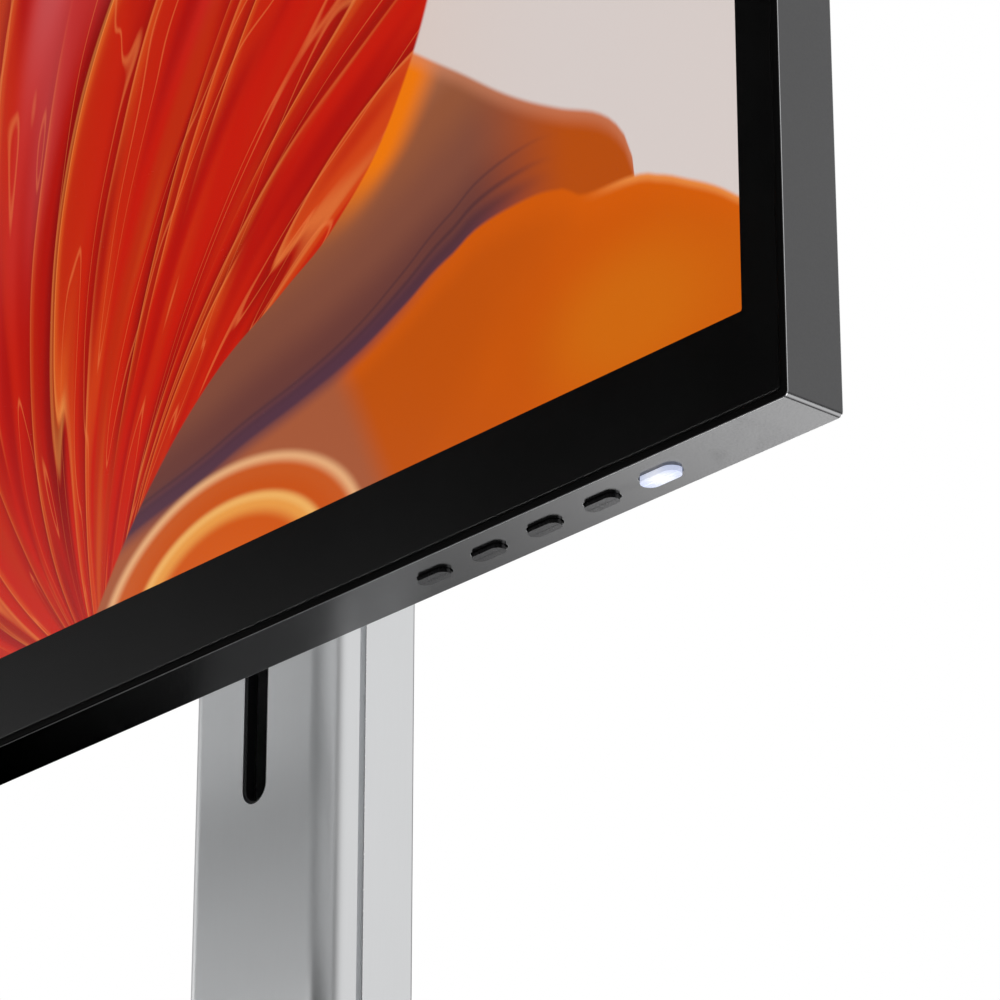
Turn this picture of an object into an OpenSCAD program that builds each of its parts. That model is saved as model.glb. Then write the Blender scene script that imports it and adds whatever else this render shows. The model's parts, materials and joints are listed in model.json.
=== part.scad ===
// Touchscreen kiosk: a flush-glass touch display on a slotted, height-adjusting column.
// Frame: X right, Y back, Z up, seen from the front. Origin: centre of the base, on the table.

/* [Screen] */
// Width of the lit picture area
screen_w = 527; // [430:1:600]
// Height of the lit picture area
screen_h = 296.5; // [248:0.5:340]
// Black border from the picture to the housing's outside, at the sides and the top
border_side = 11.4; // [9:0.1:16]
// Black border from the picture to the housing's outside, at the bottom
border_bottom = 20.8; // [18:0.1:26]
// Thickness of the cover glass
glass_t = 1.8; // [1.5:0.1:2.2]
// How far the glass stands in front of the metal edge
glass_proud = 0.7; // [0.5:0.1:1]
// Black gap from the housing's outside to the edge of the glass
glass_inset = 1.4; // [1.2:0.1:2]

/* [Housing] */
// Depth of the metal side wall, front edge to back edge
housing_depth = 14.1; // [13.5:0.1:18]
// Thickness of the metal wall
housing_wall = 1.6; // [1.4:0.1:2.2]
// Thickness of the thin rim beside the gasket
rim_wall = 0.6; // [0.5:0.1:0.8]
// Outside radius of the housing's corners
corner_r = 1.1; // [0.8:0.1:1.4]
// Width of the electronics hump on the back
hump_w = 330; // [300:1:396]
// Height of the electronics hump on the back
hump_h = 210; // [190:1:230]
// Depth from the front of the glass to the back of the hump
hump_depth = 38; // [36:1:46]
// Thickness of the moulded rear cover
cover_wall = 2; // [1.6:0.1:2.6]

/* [Buttons] */
// Spacing of the buttons, centre to centre
key_pitch = 16; // [13:0.5:20]
// Number of menu buttons beside the power button
key_count = 4; // [4:1:4]
// Power button's centre from the housing's right side
power_from_side = 40.3; // [33:0.1:50]
// Length of a menu button
key_len = 8.3; // [7:0.1:10]
// Width of a menu button
key_w = 3.3; // [2.8:0.1:4]
// Length of the power button
power_len = 9.6; // [8:0.1:11.5]
// Width of the power button
power_w = 4; // [3.4:0.1:4.4]
// How far a button stands out of the housing
key_proud = 0.9; // [0.7:0.1:1.2]
// How far a button travels when pressed
key_travel = 0.5; // [0.3:0.1:0.6]
// Gap round a button in its hole
key_gap = 0.3; // [0.3:0.05:0.4]

/* [Column] */
// Width of the column
column_w = 53; // [42:0.5:56]
// Depth of the column
column_d = 26.8; // [26.4:0.1:36]
// Radius of the column's front edges
column_front_r = 6.8; // [5:0.1:7]
// Radius of the column's rear edges
column_rear_r = 1.5; // [1:0.5:2.5]
// Thickness of the column's walls
column_wall = 2.5; // [2:0.1:3]
// Depth of the front profile, up to the shadow groove
front_profile_d = 9.6; // [9:0.1:13]
// Width of the shadow groove in the column's sides
groove_w = 1.8; // [1:0.1:2.5]
// Width of the slot in the column's front
slot_w = 8.8; // [8:0.1:10.6]
// Distance from the front of the glass back to the column's front
column_setback = 98.3; // [95:0.1:118]

/* [Travel] */
// Height of the display's bottom edge above the table, at rest
display_z = 170; // [160:1:204]
// How far the display goes down from rest
lift_down = 128; // [100:1:130]
// How far the display goes up from rest
lift_up = 20; // [10:1:24]

/* [Base] */
// Width of the base
base_w = 270; // [225:1:324]
// Depth of the base, front to back
base_d = 200; // [192:1:240]
// Corner radius of the base
base_r = 14; // [8:1:24]
// Thickness of the steel base plate
plate_t = 8; // [7:0.5:10]
// Thickness of the base's outer cover
base_cover_t = 2; // [1.5:0.1:2.5]
// Thickness of the rubber feet
foot_t = 2; // [1.5:0.5:3]
// Distance from the base's front edge back to the glass
glass_from_base_front = 15; // [8:1:30]
// Diameter of the swivel spindle
spindle_d = 20; // [16:1:24]

/* [Fits] */
// Radial clearance of a running or sliding fit
running_gap = 0.05; // [0.02:0.01:0.1]
// Clearance between flat faces of pieces that move past each other
face_gap = 0.3; // [0.3:0.05:0.5]
// Clearance round a piece that is placed in a recess
seat_gap = 0.1; // [0.05:0.05:0.2]

/* [Hidden] */
$fn = 64;
eps = 0.01;

// Display outline, and the depths of its layers behind the front of the glass
disp_w = screen_w + 2 * border_side;
disp_h = screen_h + border_side + border_bottom;
picture_z = (border_bottom - border_side) / 2;
glass_y = -base_d / 2 + glass_from_base_front;
disp_zc = display_z + disp_h / 2;
mask_t = 0.1;
lcd_t = 1.3;
lcd_margin = 3;
lcd_front = glass_t + mask_t;
lcd_back = lcd_front + lcd_t;
gasket_front = glass_proud / 2;
ledge_front = lcd_front + 1.8;
ledge_t = 1;
ledge_back = ledge_front + ledge_t;
guide_t = 3;
guide_back = lcd_back + seat_gap + guide_t;
pan_t = 0.8;
pan_margin = 1.2;
pan_back = guide_back + seat_gap + pan_t;
pan_flange = 4;
pan_rim = lcd_margin + pan_margin;
ledge_opening = pan_rim + pan_t + 0.6;
housing_back = glass_proud + housing_depth;
rib_t = 1.5;
rib_w = 6;
rib_front = housing_back - cover_wall - rib_t;
hump_r = 12;
hump_in = hump_depth - cover_wall;

// Buttons, measured up from the housing's underside
key_y = glass_proud + housing_depth / 2;
power_x = disp_w / 2 - power_from_side;
key_x = [for (i = [1:key_count]) power_x - i * key_pitch];
key_flange = 0.7;
key_flange_t = 0.8;
key_stem = 1.6;
key_stem_top = housing_wall + face_gap + key_flange_t + 2;
switch_z = key_stem_top + key_travel + face_gap;
switch_t = 1.6;
switch_side = 3.6;
button_board_z = switch_z + switch_t;
button_board_t = 1.2;
button_board_d = 5.8;
button_post_d = 4;
post_screw_d = 1.6;
led = [1.6, 2, 0.8];

// Column, slot and what runs inside
column_y = glass_y + column_setback;
column_yc = column_y + column_d / 2;
base_top = foot_t + plate_t + base_cover_t;
bush_flange_t = 1;
foot_z = base_top + bush_flange_t + face_gap;
foot_flange_t = 8;
foot_flange_d = 84;
foot_plug_h = 26;
column_z = foot_z + foot_flange_t;
groove_y = column_y + front_profile_d;
rear_y = groove_y + groove_w;
tongue_t = 1.5;
tongue_l = 2;
liner_t = 0.8;
inner_w = column_w - 2 * column_wall - 2 * tongue_t;
inner_front = column_y + column_wall + liner_t;
inner_back = column_y + column_d - column_wall;
block_w = inner_w - 2 * 0.4;
block_h = 64;
block_front = inner_front + face_gap;
block_back = inner_back - 2 * face_gap;
arm_t = slot_w - 2 * liner_t - 2 * 0.4;
arm_h = 26;
arm_seat = 5;
arm_screw_d = 3;
arm_screw_z = 7;
liner_r = slot_w / 2 - liner_t;
slot_margin = liner_t + face_gap + liner_r - sqrt(liner_r * liner_r - arm_t * arm_t / 4);
slot_bottom = disp_zc - arm_h / 2 - lift_down - slot_margin;
slot_top = disp_zc + arm_h / 2 + lift_up + slot_margin;
top_block_h = 12;
cap_t = 3;
column_top = disp_zc + block_h / 2 + lift_up + slot_margin + top_block_h;
rod_d = 6;
rod_x = 13;
rod_y = inner_back - 7;
rod_seat = 15;
rod_cover = 3;
bush_od = 8.4;
bush_l = 12;
gas_d = 12;
gas_wall = 1;
gas_gap = 0.4;
gas_y = inner_back - 1.9 - gas_d / 2;
gas_gland = 5;
gas_rod_d = 5;
gas_z = foot_z + 12;
gas_piston = 6;
gas_rod_seat = 8;
gas_top = disp_zc + block_h / 2 - gas_rod_seat - lift_down - slot_margin;
column_screw_d = 2.5;
column_screw_x = 8;
column_screw_z = [column_z + 8, column_top - top_block_h / 2];

// Tilt hinge between the display and the arm
tilt_y = glass_y + hump_depth + (column_setback - hump_depth) / 2;
hub_d = arm_h;
hub_w = 30;
shaft_d = 10;
washer_t = 1;
ear_t = 4;
ear_x = hub_w / 2 + face_gap + washer_t;
nut_t = 6;
nut_af = 15;
plate_w = 120;
mount_plate_t = 3;
vesa = 100;
mount_screw_d = 4;
mount_screw_l = 16;
mount_head_t = 2.5;
mount_hole_d = mount_screw_d + 0.5;
mount_post_d = 9;

// Base
bush_od_base = spindle_d + 6;
bush_flange_d = spindle_d + 14;
recess_d = spindle_d + 26;
recess_h = 5;
spindle_nut_t = 3;
spindle_nut_d = spindle_d + 14;
spindle_z = foot_t + 0.7;
spindle_seat = 8;
foot_d = 18;
foot_inset = 20;
base_screw_inset = 34;
base_screw_d = 4;
base_screw_places = corners(base_w - 2 * base_screw_inset, base_d - 2 * base_screw_inset);

// Boards and sockets on the back of the panel
board_t = 1.6;
board_y = pan_back + 7;
board_x = 108;
board_w = 92;
board_h = 170;
board_hole_h = 110;
board_screw_d = 2.5;
board_head_t = 1.6;
hump_floor = -hump_h / 2 + cover_wall;
socket_gap = 0.3;
inlet_w = 27;
inlet_h = 19.5;
inlet_l = 24;
// Sockets along the main board's lower edge: [centre x from the board's centre, width, depth, length]
usb = [14.5, 7, 16];
video = [15.5, 6, 14];
network = [16, 13.5, 21];
usb_x = [8, 28];
video_x = -16;
network_x = -36;
speaker = [62, 18, 4.6];
speaker_side = 38.9;
speaker_x = disp_w / 2 - speaker_side - speaker[0] / 2;
speaker_z = -118;

// ---------- Shared shapes ----------

// Rectangle with true round corners, centred
module round_rect(w, h, r) {
    square([w - 2 * r, h], center = true);
    square([w, h - 2 * r], center = true);
    for (x = [-1, 1], y = [-1, 1])
        translate([x * (w / 2 - r), y * (h / 2 - r)]) circle(r);
}

// Pill outline, centred, long way along X
module pill(l, w) {
    square([l - w, w], center = true);
    for (x = [-1, 1]) translate([x * (l - w) / 2, 0]) circle(w / 2);
}

// A display layer: the outline's X and Y become width and height, t goes back from depth d
module layer(d, t) {
    translate([0, glass_y + d + t, disp_zc]) rotate([90, 0, 0]) linear_extrude(t) children();
}

// The display's outline, moved in by a margin all round
module display_outline(inset) {
    round_rect(disp_w - 2 * inset, disp_h - 2 * inset, max(corner_r - inset, 0.5));
}

// The picture's outline, moved out by a margin all round
module picture_outline(outset, r = 0.5) {
    translate([0, picture_z]) round_rect(screen_w + 2 * outset, screen_h + 2 * outset, r);
}

// The hump's outline, moved in by a margin all round
module hump_outline(inset) {
    round_rect(hump_w - 2 * inset, hump_h - 2 * inset, hump_r - inset);
}

// Cylinder along Y, from y0 back by l, at the given x and z
module rod_along_y(x, y0, z, d, l) {
    translate([x, y0 + l, z]) rotate([90, 0, 0]) cylinder(h = l, d = d);
}

// Cylinder along X, centred
module rod_along_x(y, z, d, l) {
    translate([0, y, z]) rotate([0, 90, 0]) cylinder(h = l, d = d, center = true);
}

// Screw along -Y: its head's outer face is at y0, and its shank goes towards the front
module screw_forward(x, y0, z, d, l, head_t) {
    rod_along_y(x, y0 - head_t, z, 2 * d - 0.2, head_t);
    rod_along_y(x, y0 - l, z, d, l - head_t + eps);
}

// Points on a rectangle's four corners
function corners(w, h) = [for (x = [-1, 1], z = [-1, 1]) [x * w / 2, z * h / 2]];

// Screw places round the rear cover's edge
cover_screw_d = 2.5;
cover_screw_l = 5;
cover_head_t = 0.9;
cover_screw_inset = housing_wall + rib_w / 2;
cover_screws = [for (x = [-0.46, -0.16, 0.16, 0.46], z = [-1, 1])
    [x * disp_w, z * (disp_h / 2 - cover_screw_inset)]];
board_holes = corners(board_w - 8, board_hole_h);
touch_board_w = 60;
touch_board_h = 22;
touch_board_z = hump_floor + 16;
tail_w = 20;
tail_t = 0.3;
tail_low = picture_z - screen_h / 2 - pan_rim - pan_t - tail_t - 0.1;

// ---------- Base ----------

module base_outline(inset) {
    round_rect(base_w - 2 * inset, base_d - 2 * inset, base_r - inset);
}

module base_plate() {
    color("dimgray") difference() {
        translate([0, 0, foot_t]) linear_extrude(plate_t) base_outline(base_cover_t + seat_gap);
        translate([0, column_yc, foot_t - eps]) cylinder(h = recess_h + eps, d = recess_d);
        translate([0, column_yc, 0]) cylinder(h = base_top, d = bush_od_base);
        for (p = base_screw_places)
            translate([p[0], p[1], 0]) cylinder(h = base_top, d = base_screw_d);
        for (p = base_screw_places)
            translate([p[0], p[1], foot_t - eps]) cylinder(h = 2.5 + eps, d = 2 * base_screw_d);
    }
}

module base_cover() {
    color("silver") difference() {
        translate([0, 0, foot_t + 1]) linear_extrude(base_top - foot_t - 1) base_outline(0);
        translate([0, 0, foot_t]) linear_extrude(plate_t) base_outline(base_cover_t);
        translate([0, column_yc, foot_t]) cylinder(h = base_top, d = bush_od_base);
        for (p = base_screw_places)
            translate([p[0], p[1], foot_t + plate_t - eps]) cylinder(h = 1.2 + eps, d = base_screw_d);
    }
}

module rubber_feet() {
    color([0.08, 0.08, 0.08])
        for (p = corners(base_w - 2 * foot_inset, base_d - 2 * foot_inset))
            translate([p[0], p[1], 0]) cylinder(h = foot_t, d = foot_d);
}

module swivel_bush() {
    color("ivory") translate([0, column_yc, 0]) difference() {
        union() {
            translate([0, 0, foot_t + recess_h])
                cylinder(h = base_top - foot_t - recess_h, d = bush_od_base);
            translate([0, 0, base_top]) cylinder(h = bush_flange_t, d = bush_flange_d);
        }
        cylinder(h = 2 * base_top, d = spindle_d + 2 * running_gap);
    }
}

module base_screws() {
    color("gray")
        for (p = base_screw_places)
            translate([p[0], p[1], foot_t + 0.3]) {
                cylinder(h = 2.2, d = 2 * base_screw_d - 0.4);
                cylinder(h = plate_t + 0.7, d = base_screw_d);
            }
}

// ---------- Column ----------

// Block that fits inside the column's bore
module column_plug(z, h) {
    translate([-inner_w / 2 + seat_gap, inner_front + seat_gap, z])
        cube([inner_w - 2 * seat_gap, inner_back - inner_front - 2 * seat_gap, h]);
}

module column_foot() {
    color("silver") difference() {
        union() {
            translate([0, column_yc, foot_z]) cylinder(h = foot_flange_t, d = foot_flange_d, $fn = 128);
            column_plug(foot_z, foot_flange_t + foot_plug_h);
        }
        translate([0, column_yc, foot_z - eps]) cylinder(h = spindle_seat + eps, d = spindle_d);
        translate([0, gas_y, gas_z]) cylinder(h = column_z + foot_plug_h, d = gas_d + 2 * seat_gap);
        for (x = [-1, 1])
            translate([x * rod_x, rod_y, column_z + foot_plug_h - rod_seat])
                cylinder(h = rod_seat + 1, d = rod_d);
        for (x = [-1, 1])
            rod_along_y(x * column_screw_x, inner_back - 8, column_screw_z[0], column_screw_d, 10);
    }
}

module swivel_spindle() {
    color("lightgray")
        translate([0, column_yc, spindle_z]) cylinder(h = foot_z + spindle_seat - spindle_z, d = spindle_d);
}

module swivel_washer() {
    color("gray") translate([0, column_yc, spindle_z + spindle_nut_t]) difference() {
        cylinder(h = foot_t + recess_h - spindle_z - spindle_nut_t - face_gap, d = recess_d - 8);
        translate([0, 0, -1]) cylinder(h = 5, d = spindle_d);
    }
}

module swivel_nut() {
    color("dimgray") translate([0, column_yc, spindle_z]) difference() {
        cylinder(h = spindle_nut_t, d = spindle_nut_d, $fn = 6);
        translate([0, 0, -1]) cylinder(h = 6, d = spindle_d);
    }
}

// Outline of the front profile, moved in by a wall, with round front edges
module front_outline(inset, r) {
    translate([-column_w / 2 + inset + r, column_y + inset])
        square([column_w - 2 * (inset + r), front_profile_d]);
    translate([-column_w / 2 + inset, column_y + inset + r])
        square([column_w - 2 * inset, front_profile_d - r]);
    for (x = [-1, 1])
        translate([x * (column_w / 2 - inset - r), column_y + inset + r]) circle(r);
}

// Front profile's section: flat front, round front edges, open at the back
module front_section() {
    difference() {
        intersection() {
            front_outline(0, column_front_r);
            translate([-column_w / 2, column_y]) square([column_w, front_profile_d]);
        }
        front_outline(column_wall, column_front_r - column_wall - 1);
    }
}

// The slot's shape, cut through along Y: w wide, with round ends
module slot_cut(w, y0, t) {
    r = w / 2;
    inset = (slot_w - w) / 2;
    zl = slot_bottom + inset;
    zh = slot_top - inset;
    translate([-r, y0, zl + r]) cube([w, t, zh - zl - w]);
    for (z = [zl + r, zh - r]) rod_along_y(0, y0, z, w, t);
}

module column_front() {
    color("silver") difference() {
        translate([0, 0, column_z]) linear_extrude(column_top - column_z) front_section();
        slot_cut(slot_w, column_y - 1, column_wall + 2);
    }
}

// Rear profile's section: channel with a tongue each side that reaches into the front profile
module rear_section() {
    difference() {
        union() {
            translate([-column_w / 2, rear_y])
                square([column_w, column_y + column_d - column_rear_r - rear_y]);
            translate([-column_w / 2 + column_rear_r, rear_y])
                square([column_w - 2 * column_rear_r, column_y + column_d - rear_y]);
            for (x = [-1, 1])
                translate([x * (column_w / 2 - column_rear_r), column_y + column_d - column_rear_r])
                    circle(column_rear_r);
            translate([-inner_w / 2 - tongue_t, groove_y - tongue_l])
                square([inner_w + 2 * tongue_t, tongue_l + groove_w + 1]);
        }
        translate([-inner_w / 2, column_y]) square([inner_w, inner_back - column_y]);
    }
}

module column_rear() {
    color("gainsboro") difference() {
        translate([0, 0, column_z]) linear_extrude(column_top - column_z) rear_section();
        for (x = [-1, 1], z = column_screw_z)
            rod_along_y(x * column_screw_x, inner_back - 1, z, column_screw_d, column_wall + 2);
        for (x = [-1, 1], z = column_screw_z)
            rod_along_y(x * column_screw_x, column_y + column_d - 1.2, z, 2 * column_screw_d, 2);
    }
}

module slot_liner() {
    w = slot_w - 2 * liner_t;
    color([0.05, 0.05, 0.05]) difference() {
        union() {
            slot_cut(slot_w, column_y + 0.4, column_wall - 0.4);
            translate([-slot_w / 2 - 3, column_y + column_wall, slot_bottom - 3])
                cube([slot_w + 6, liner_t, slot_top - slot_bottom + 6]);
        }
        slot_cut(w, column_y - 1, column_wall + liner_t + 2);
    }
}

module column_cap() {
    color("silver") translate([0, 0, column_top]) linear_extrude(cap_t) {
        translate([-column_w / 2 + column_front_r, column_y])
            square([column_w - 2 * column_front_r, column_d - column_rear_r]);
        translate([-column_w / 2, column_y + column_front_r])
            square([column_w, column_d - column_front_r - column_rear_r]);
        translate([-column_w / 2 + column_rear_r, column_y + column_front_r])
            square([column_w - 2 * column_rear_r, column_d - column_front_r]);
        for (x = [-1, 1]) {
            translate([x * (column_w / 2 - column_front_r), column_y + column_front_r])
                circle(column_front_r);
            translate([x * (column_w / 2 - column_rear_r), column_y + column_d - column_rear_r])
                circle(column_rear_r);
        }
    }
}

module top_block() {
    color("dimgray") difference() {
        column_plug(column_top - top_block_h, top_block_h);
        for (x = [-1, 1])
            translate([x * rod_x, rod_y, column_top - top_block_h - 1])
                cylinder(h = top_block_h + 1 - rod_cover, d = rod_d);
        for (x = [-1, 1])
            rod_along_y(x * column_screw_x, inner_back - 8, column_screw_z[1], column_screw_d, 10);
    }
}

module guide_rods() {
    z0 = column_z + foot_plug_h - rod_seat;
    color("lightgray") for (x = [-1, 1])
        translate([x * rod_x, rod_y, z0]) cylinder(h = column_top - rod_cover - z0, d = rod_d);
}

module gas_spring_cylinder() {
    color([0.1, 0.1, 0.11]) translate([0, gas_y, gas_z]) difference() {
        cylinder(h = gas_top - gas_z, d = gas_d);
        translate([0, 0, 3]) cylinder(h = gas_top - gas_z - 3 - gas_gland, d = gas_d - 2 * gas_wall);
        translate([0, 0, 3]) cylinder(h = gas_top, d = gas_rod_d + 2 * running_gap);
    }
}

module column_screws() {
    color("gray") for (x = [-1, 1], z = column_screw_z)
        screw_forward(x * column_screw_x, column_y + column_d - 0.2, z, column_screw_d, 8, 1);
}

// ---------- Carriage that slides in the column ----------

module carriage_block() {
    color("slategray") difference() {
        translate([-block_w / 2, block_front, disp_zc - block_h / 2])
            cube([block_w, block_back - block_front, block_h]);
        translate([-arm_t / 2, block_front - 1, disp_zc - arm_h / 2]) cube([arm_t, arm_seat + 1, arm_h]);
        for (x = [-1, 1])
            translate([x * rod_x, rod_y, disp_zc - block_h / 2 - 1]) cylinder(h = block_h + 2, d = bush_od);
        translate([0, gas_y, disp_zc - block_h / 2 - 1])
            cylinder(h = block_h - gas_rod_seat + 1, d = gas_d + 2 * gas_gap);
        translate([0, gas_y, disp_zc]) cylinder(h = block_h / 2 + 1, d = gas_rod_d);
        for (z = [-1, 1])
            rod_along_x(block_front + arm_seat / 2, disp_zc + z * arm_screw_z, arm_screw_d, block_w + 2);
    }
}

module slide_bushes() {
    color("ivory") for (x = [-1, 1], z = [-1, 1])
        translate([x * rod_x, rod_y, disp_zc + z * (block_h / 2 - bush_l / 2)]) difference() {
            cylinder(h = bush_l, d = bush_od, center = true);
            cylinder(h = bush_l + 2, d = rod_d + 2 * running_gap, center = true);
        }
}

module gas_spring_rod() {
    piston_z = gas_top - gas_gland - lift_up - gas_piston - slot_margin;
    top = disp_zc + block_h / 2 - 1;
    color("lightgray") translate([0, gas_y, piston_z]) {
        cylinder(h = gas_piston, d = gas_d - 2 * gas_wall - 2 * running_gap);
        cylinder(h = top - piston_z, d = gas_rod_d);
    }
}

module tilt_arm() {
    color("slategray") difference() {
        union() {
            translate([-arm_t / 2, tilt_y, disp_zc - arm_h / 2])
                cube([arm_t, block_front + arm_seat - tilt_y, arm_h]);
            rod_along_x(tilt_y, disp_zc, hub_d, hub_w);
        }
        rod_along_x(tilt_y, disp_zc, shaft_d + 2 * running_gap, hub_w + 2);
        for (z = [-1, 1])
            rod_along_x(block_front + arm_seat / 2, disp_zc + z * arm_screw_z, arm_screw_d, arm_t + 2);
    }
}

module arm_screws() {
    color("gray") for (z = [-1, 1])
        rod_along_x(block_front + arm_seat / 2, disp_zc + z * arm_screw_z, arm_screw_d, block_w - 0.4);
}

// ---------- Tilt hinge and mounting plate, on the display ----------

module mount_plate() {
    plate_y = glass_y + hump_depth;
    color("dimgray") difference() {
        union() {
            layer(hump_depth, mount_plate_t) round_rect(plate_w, plate_w, 8);
            for (x = [-1, 1])
                translate([x * (ear_x + ear_t / 2) - ear_t / 2, 0, 0]) {
                    translate([0, plate_y + mount_plate_t - eps, disp_zc - hub_d / 2])
                        cube([ear_t, tilt_y - plate_y - mount_plate_t, hub_d]);
                    translate([ear_t / 2, 0, 0]) rod_along_x(tilt_y, disp_zc, hub_d, ear_t);
                }
        }
        rod_along_x(tilt_y, disp_zc, shaft_d, plate_w);
        for (p = corners(vesa, vesa))
            rod_along_y(p[0], plate_y - 1, disp_zc + p[1], mount_hole_d, mount_plate_t + 2);
    }
}

module tilt_shaft() {
    color("lightgray") rod_along_x(tilt_y, disp_zc, shaft_d, 2 * (ear_x + ear_t + washer_t + nut_t + 1));
}

module hinge_washer(x, d, t) {
    translate([x, tilt_y, disp_zc]) rotate([0, 90, 0]) difference() {
        cylinder(h = t, d = d, center = true);
        cylinder(h = t + 2, d = shaft_d, center = true);
    }
}

module friction_washers() {
    color("peru") for (s = [-1, 1]) {
        hinge_washer(s * (ear_x - washer_t / 2), hub_d - 3, washer_t);
        hinge_washer(s * (ear_x + ear_t + washer_t / 2), hub_d - 5, washer_t);
    }
}

module tilt_nuts() {
    color("gray") for (s = [-1, 1])
        translate([s * (ear_x + ear_t + washer_t + nut_t / 2), tilt_y, disp_zc]) rotate([0, 90, 0])
            difference() {
                cylinder(h = nut_t, d = nut_af / cos(30), center = true, $fn = 6);
                cylinder(h = nut_t + 2, d = shaft_d, center = true);
            }
}

module mount_screws() {
    color("gray") for (p = corners(vesa, vesa))
        screw_forward(p[0], glass_y + hump_depth + mount_plate_t + mount_head_t, disp_zc + p[1],
            mount_screw_d, mount_screw_l, mount_head_t);
}

module mount_posts() {
    color("lightgray") for (p = corners(vesa, vesa)) difference() {
        rod_along_y(p[0], glass_y + pan_back, disp_zc + p[1], mount_post_d, hump_in - pan_back);
        rod_along_y(p[0], glass_y + hump_in - 14, disp_zc + p[1], mount_screw_d, 20);
    }
}

// ---------- Display ----------

// Hole for a button, cut down through the housing's bottom wall
module key_hole(x, l, w) {
    translate([x, glass_y + key_y, display_z - 1]) linear_extrude(housing_wall + 2)
        pill(l + 2 * key_gap, w + 2 * key_gap);
}

module housing_frame() {
    color([0.36, 0.36, 0.37]) difference() {
        union() {
            difference() {
                layer(glass_proud, housing_depth) display_outline(0);
                layer(glass_proud - 1, housing_depth + 2) display_outline(housing_wall);
                layer(glass_proud - 1, ledge_front - glass_proud + 1) display_outline(rim_wall);
            }
            difference() {
                layer(ledge_front, ledge_t) display_outline(housing_wall / 2);
                layer(ledge_front - 1, ledge_t + 2) picture_outline(ledge_opening);
            }
            difference() {
                layer(rib_front, rib_t) display_outline(housing_wall / 2);
                layer(rib_front - 1, rib_t + 2) display_outline(housing_wall + rib_w);
            }
            for (x = button_posts())
                translate([x, glass_y + key_y, display_z + housing_wall / 2])
                    cylinder(h = button_board_z - housing_wall / 2, d = button_post_d);
        }
        for (x = key_x) key_hole(x, key_len, key_w);
        key_hole(power_x, power_len, power_w);
        for (p = cover_screws)
            rod_along_y(p[0], glass_y + rib_front - 1, disp_zc + p[1], cover_screw_d, rib_t + 2);
        for (x = button_posts())
            translate([x, glass_y + key_y, display_z + housing_wall + 1]) cylinder(h = 20, d = post_screw_d);
    }
}

// Two posts that carry the button board, one past each end of the row
function button_posts() = [key_x[key_count - 1] - key_len, power_x + power_len];

// Socket openings in the hump's floor: [x, depth of the socket's front, width, depth]
function main_x(dx) = -board_x + dx;
socket_y = board_y + board_t;
socket_cuts = [
    [main_x(usb_x[0]), socket_y, usb[0], usb[1]],
    [main_x(usb_x[1]), socket_y, usb[0], usb[1]],
    [main_x(video_x), socket_y, video[0], video[1]],
    [main_x(network_x), socket_y, network[0], network[1]],
    [board_x, board_y - 1, inlet_w, inlet_h]];

module rear_cover() {
    vents = 15;
    vent_pitch = [12, 5.5];
    vent = [8, 2.4];
    grille = [2, 10];
    grille_pitch = 5.5;
    outer_y = glass_y + housing_back - cover_wall;
    color([0.78, 0.78, 0.79]) difference() {
        union() {
            difference() {
                layer(housing_back - cover_wall, cover_wall) display_outline(housing_wall + seat_gap);
                layer(housing_back - cover_wall - 1, cover_wall + 2) hump_outline(cover_wall);
            }
            difference() {
                layer(housing_back - cover_wall, hump_depth - housing_back + cover_wall) hump_outline(0);
                layer(housing_back - cover_wall - 1, hump_in - housing_back + cover_wall + 1)
                    hump_outline(cover_wall);
            }
        }
        for (s = socket_cuts)
            translate([s[0] - s[2] / 2 - socket_gap, glass_y + s[1] - socket_gap, disp_zc - hump_h / 2 - 1])
                cube([s[2] + 2 * socket_gap, s[3] + 2 * socket_gap, cover_wall + 2]);
        for (i = [0:vents - 1], row = [0:2])
            translate([(i - (vents - 1) / 2) * vent_pitch.x - vent.x / 2,
                    glass_y + housing_back + 4 + row * vent_pitch.y, disp_zc + hump_h / 2 - cover_wall - 1])
                cube([vent.x, vent.y, cover_wall + 2]);
        for (p = corners(vesa, vesa))
            rod_along_y(p[0], glass_y + hump_in - 1, disp_zc + p[1], mount_hole_d, cover_wall + 2);
        for (p = cover_screws) {
            rod_along_y(p[0], outer_y - 1, disp_zc + p[1], cover_screw_d + 0.3, cover_wall + 2);
            rod_along_y(p[0], outer_y + cover_wall - cover_head_t - 0.2, disp_zc + p[1],
                2 * cover_screw_d + 0.2, 2);
        }
        for (s = [-1, 1], i = [-4:4])
            translate([s * speaker_x + i * grille_pitch - grille.x / 2, outer_y - 1,
                    disp_zc + speaker_z - grille.y / 2])
                cube([grille.x, cover_wall + 2, grille.y]);
    }
}

module cover_glass() {
    color([0.1, 0.1, 0.12, 0.35]) layer(0, glass_t) display_outline(glass_inset);
}

module glass_gasket() {
    color([0.03, 0.03, 0.03]) {
        difference() {
            union() {
                layer(gasket_front, glass_proud - gasket_front) display_outline(seat_gap);
                layer(glass_proud, ledge_front - glass_proud) display_outline(rim_wall + seat_gap / 2);
            }
            layer(-1, lcd_front + 1) display_outline(glass_inset - seat_gap / 2);
            layer(-1, ledge_front + 2) picture_outline(ledge_opening);
        }
    }
}

module border_mask() {
    color("black") difference() {
        layer(glass_t, mask_t) display_outline(glass_inset + 0.3);
        layer(glass_t - 1, mask_t + 2) picture_outline(0);
    }
}

module lcd_panel() {
    color("darkorange") layer(lcd_front, lcd_t) picture_outline(lcd_margin);
}

module light_guide() {
    color("whitesmoke") layer(lcd_back + seat_gap / 2, guide_t) picture_outline(lcd_margin - 1);
}

module led_strip() {
    strip_z = disp_zc + picture_z - screen_h / 2 - pan_rim + 0.2;
    color("khaki") translate([-screen_w / 2, glass_y + lcd_back + seat_gap, strip_z])
        cube([screen_w, guide_t, 1]);
}

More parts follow.
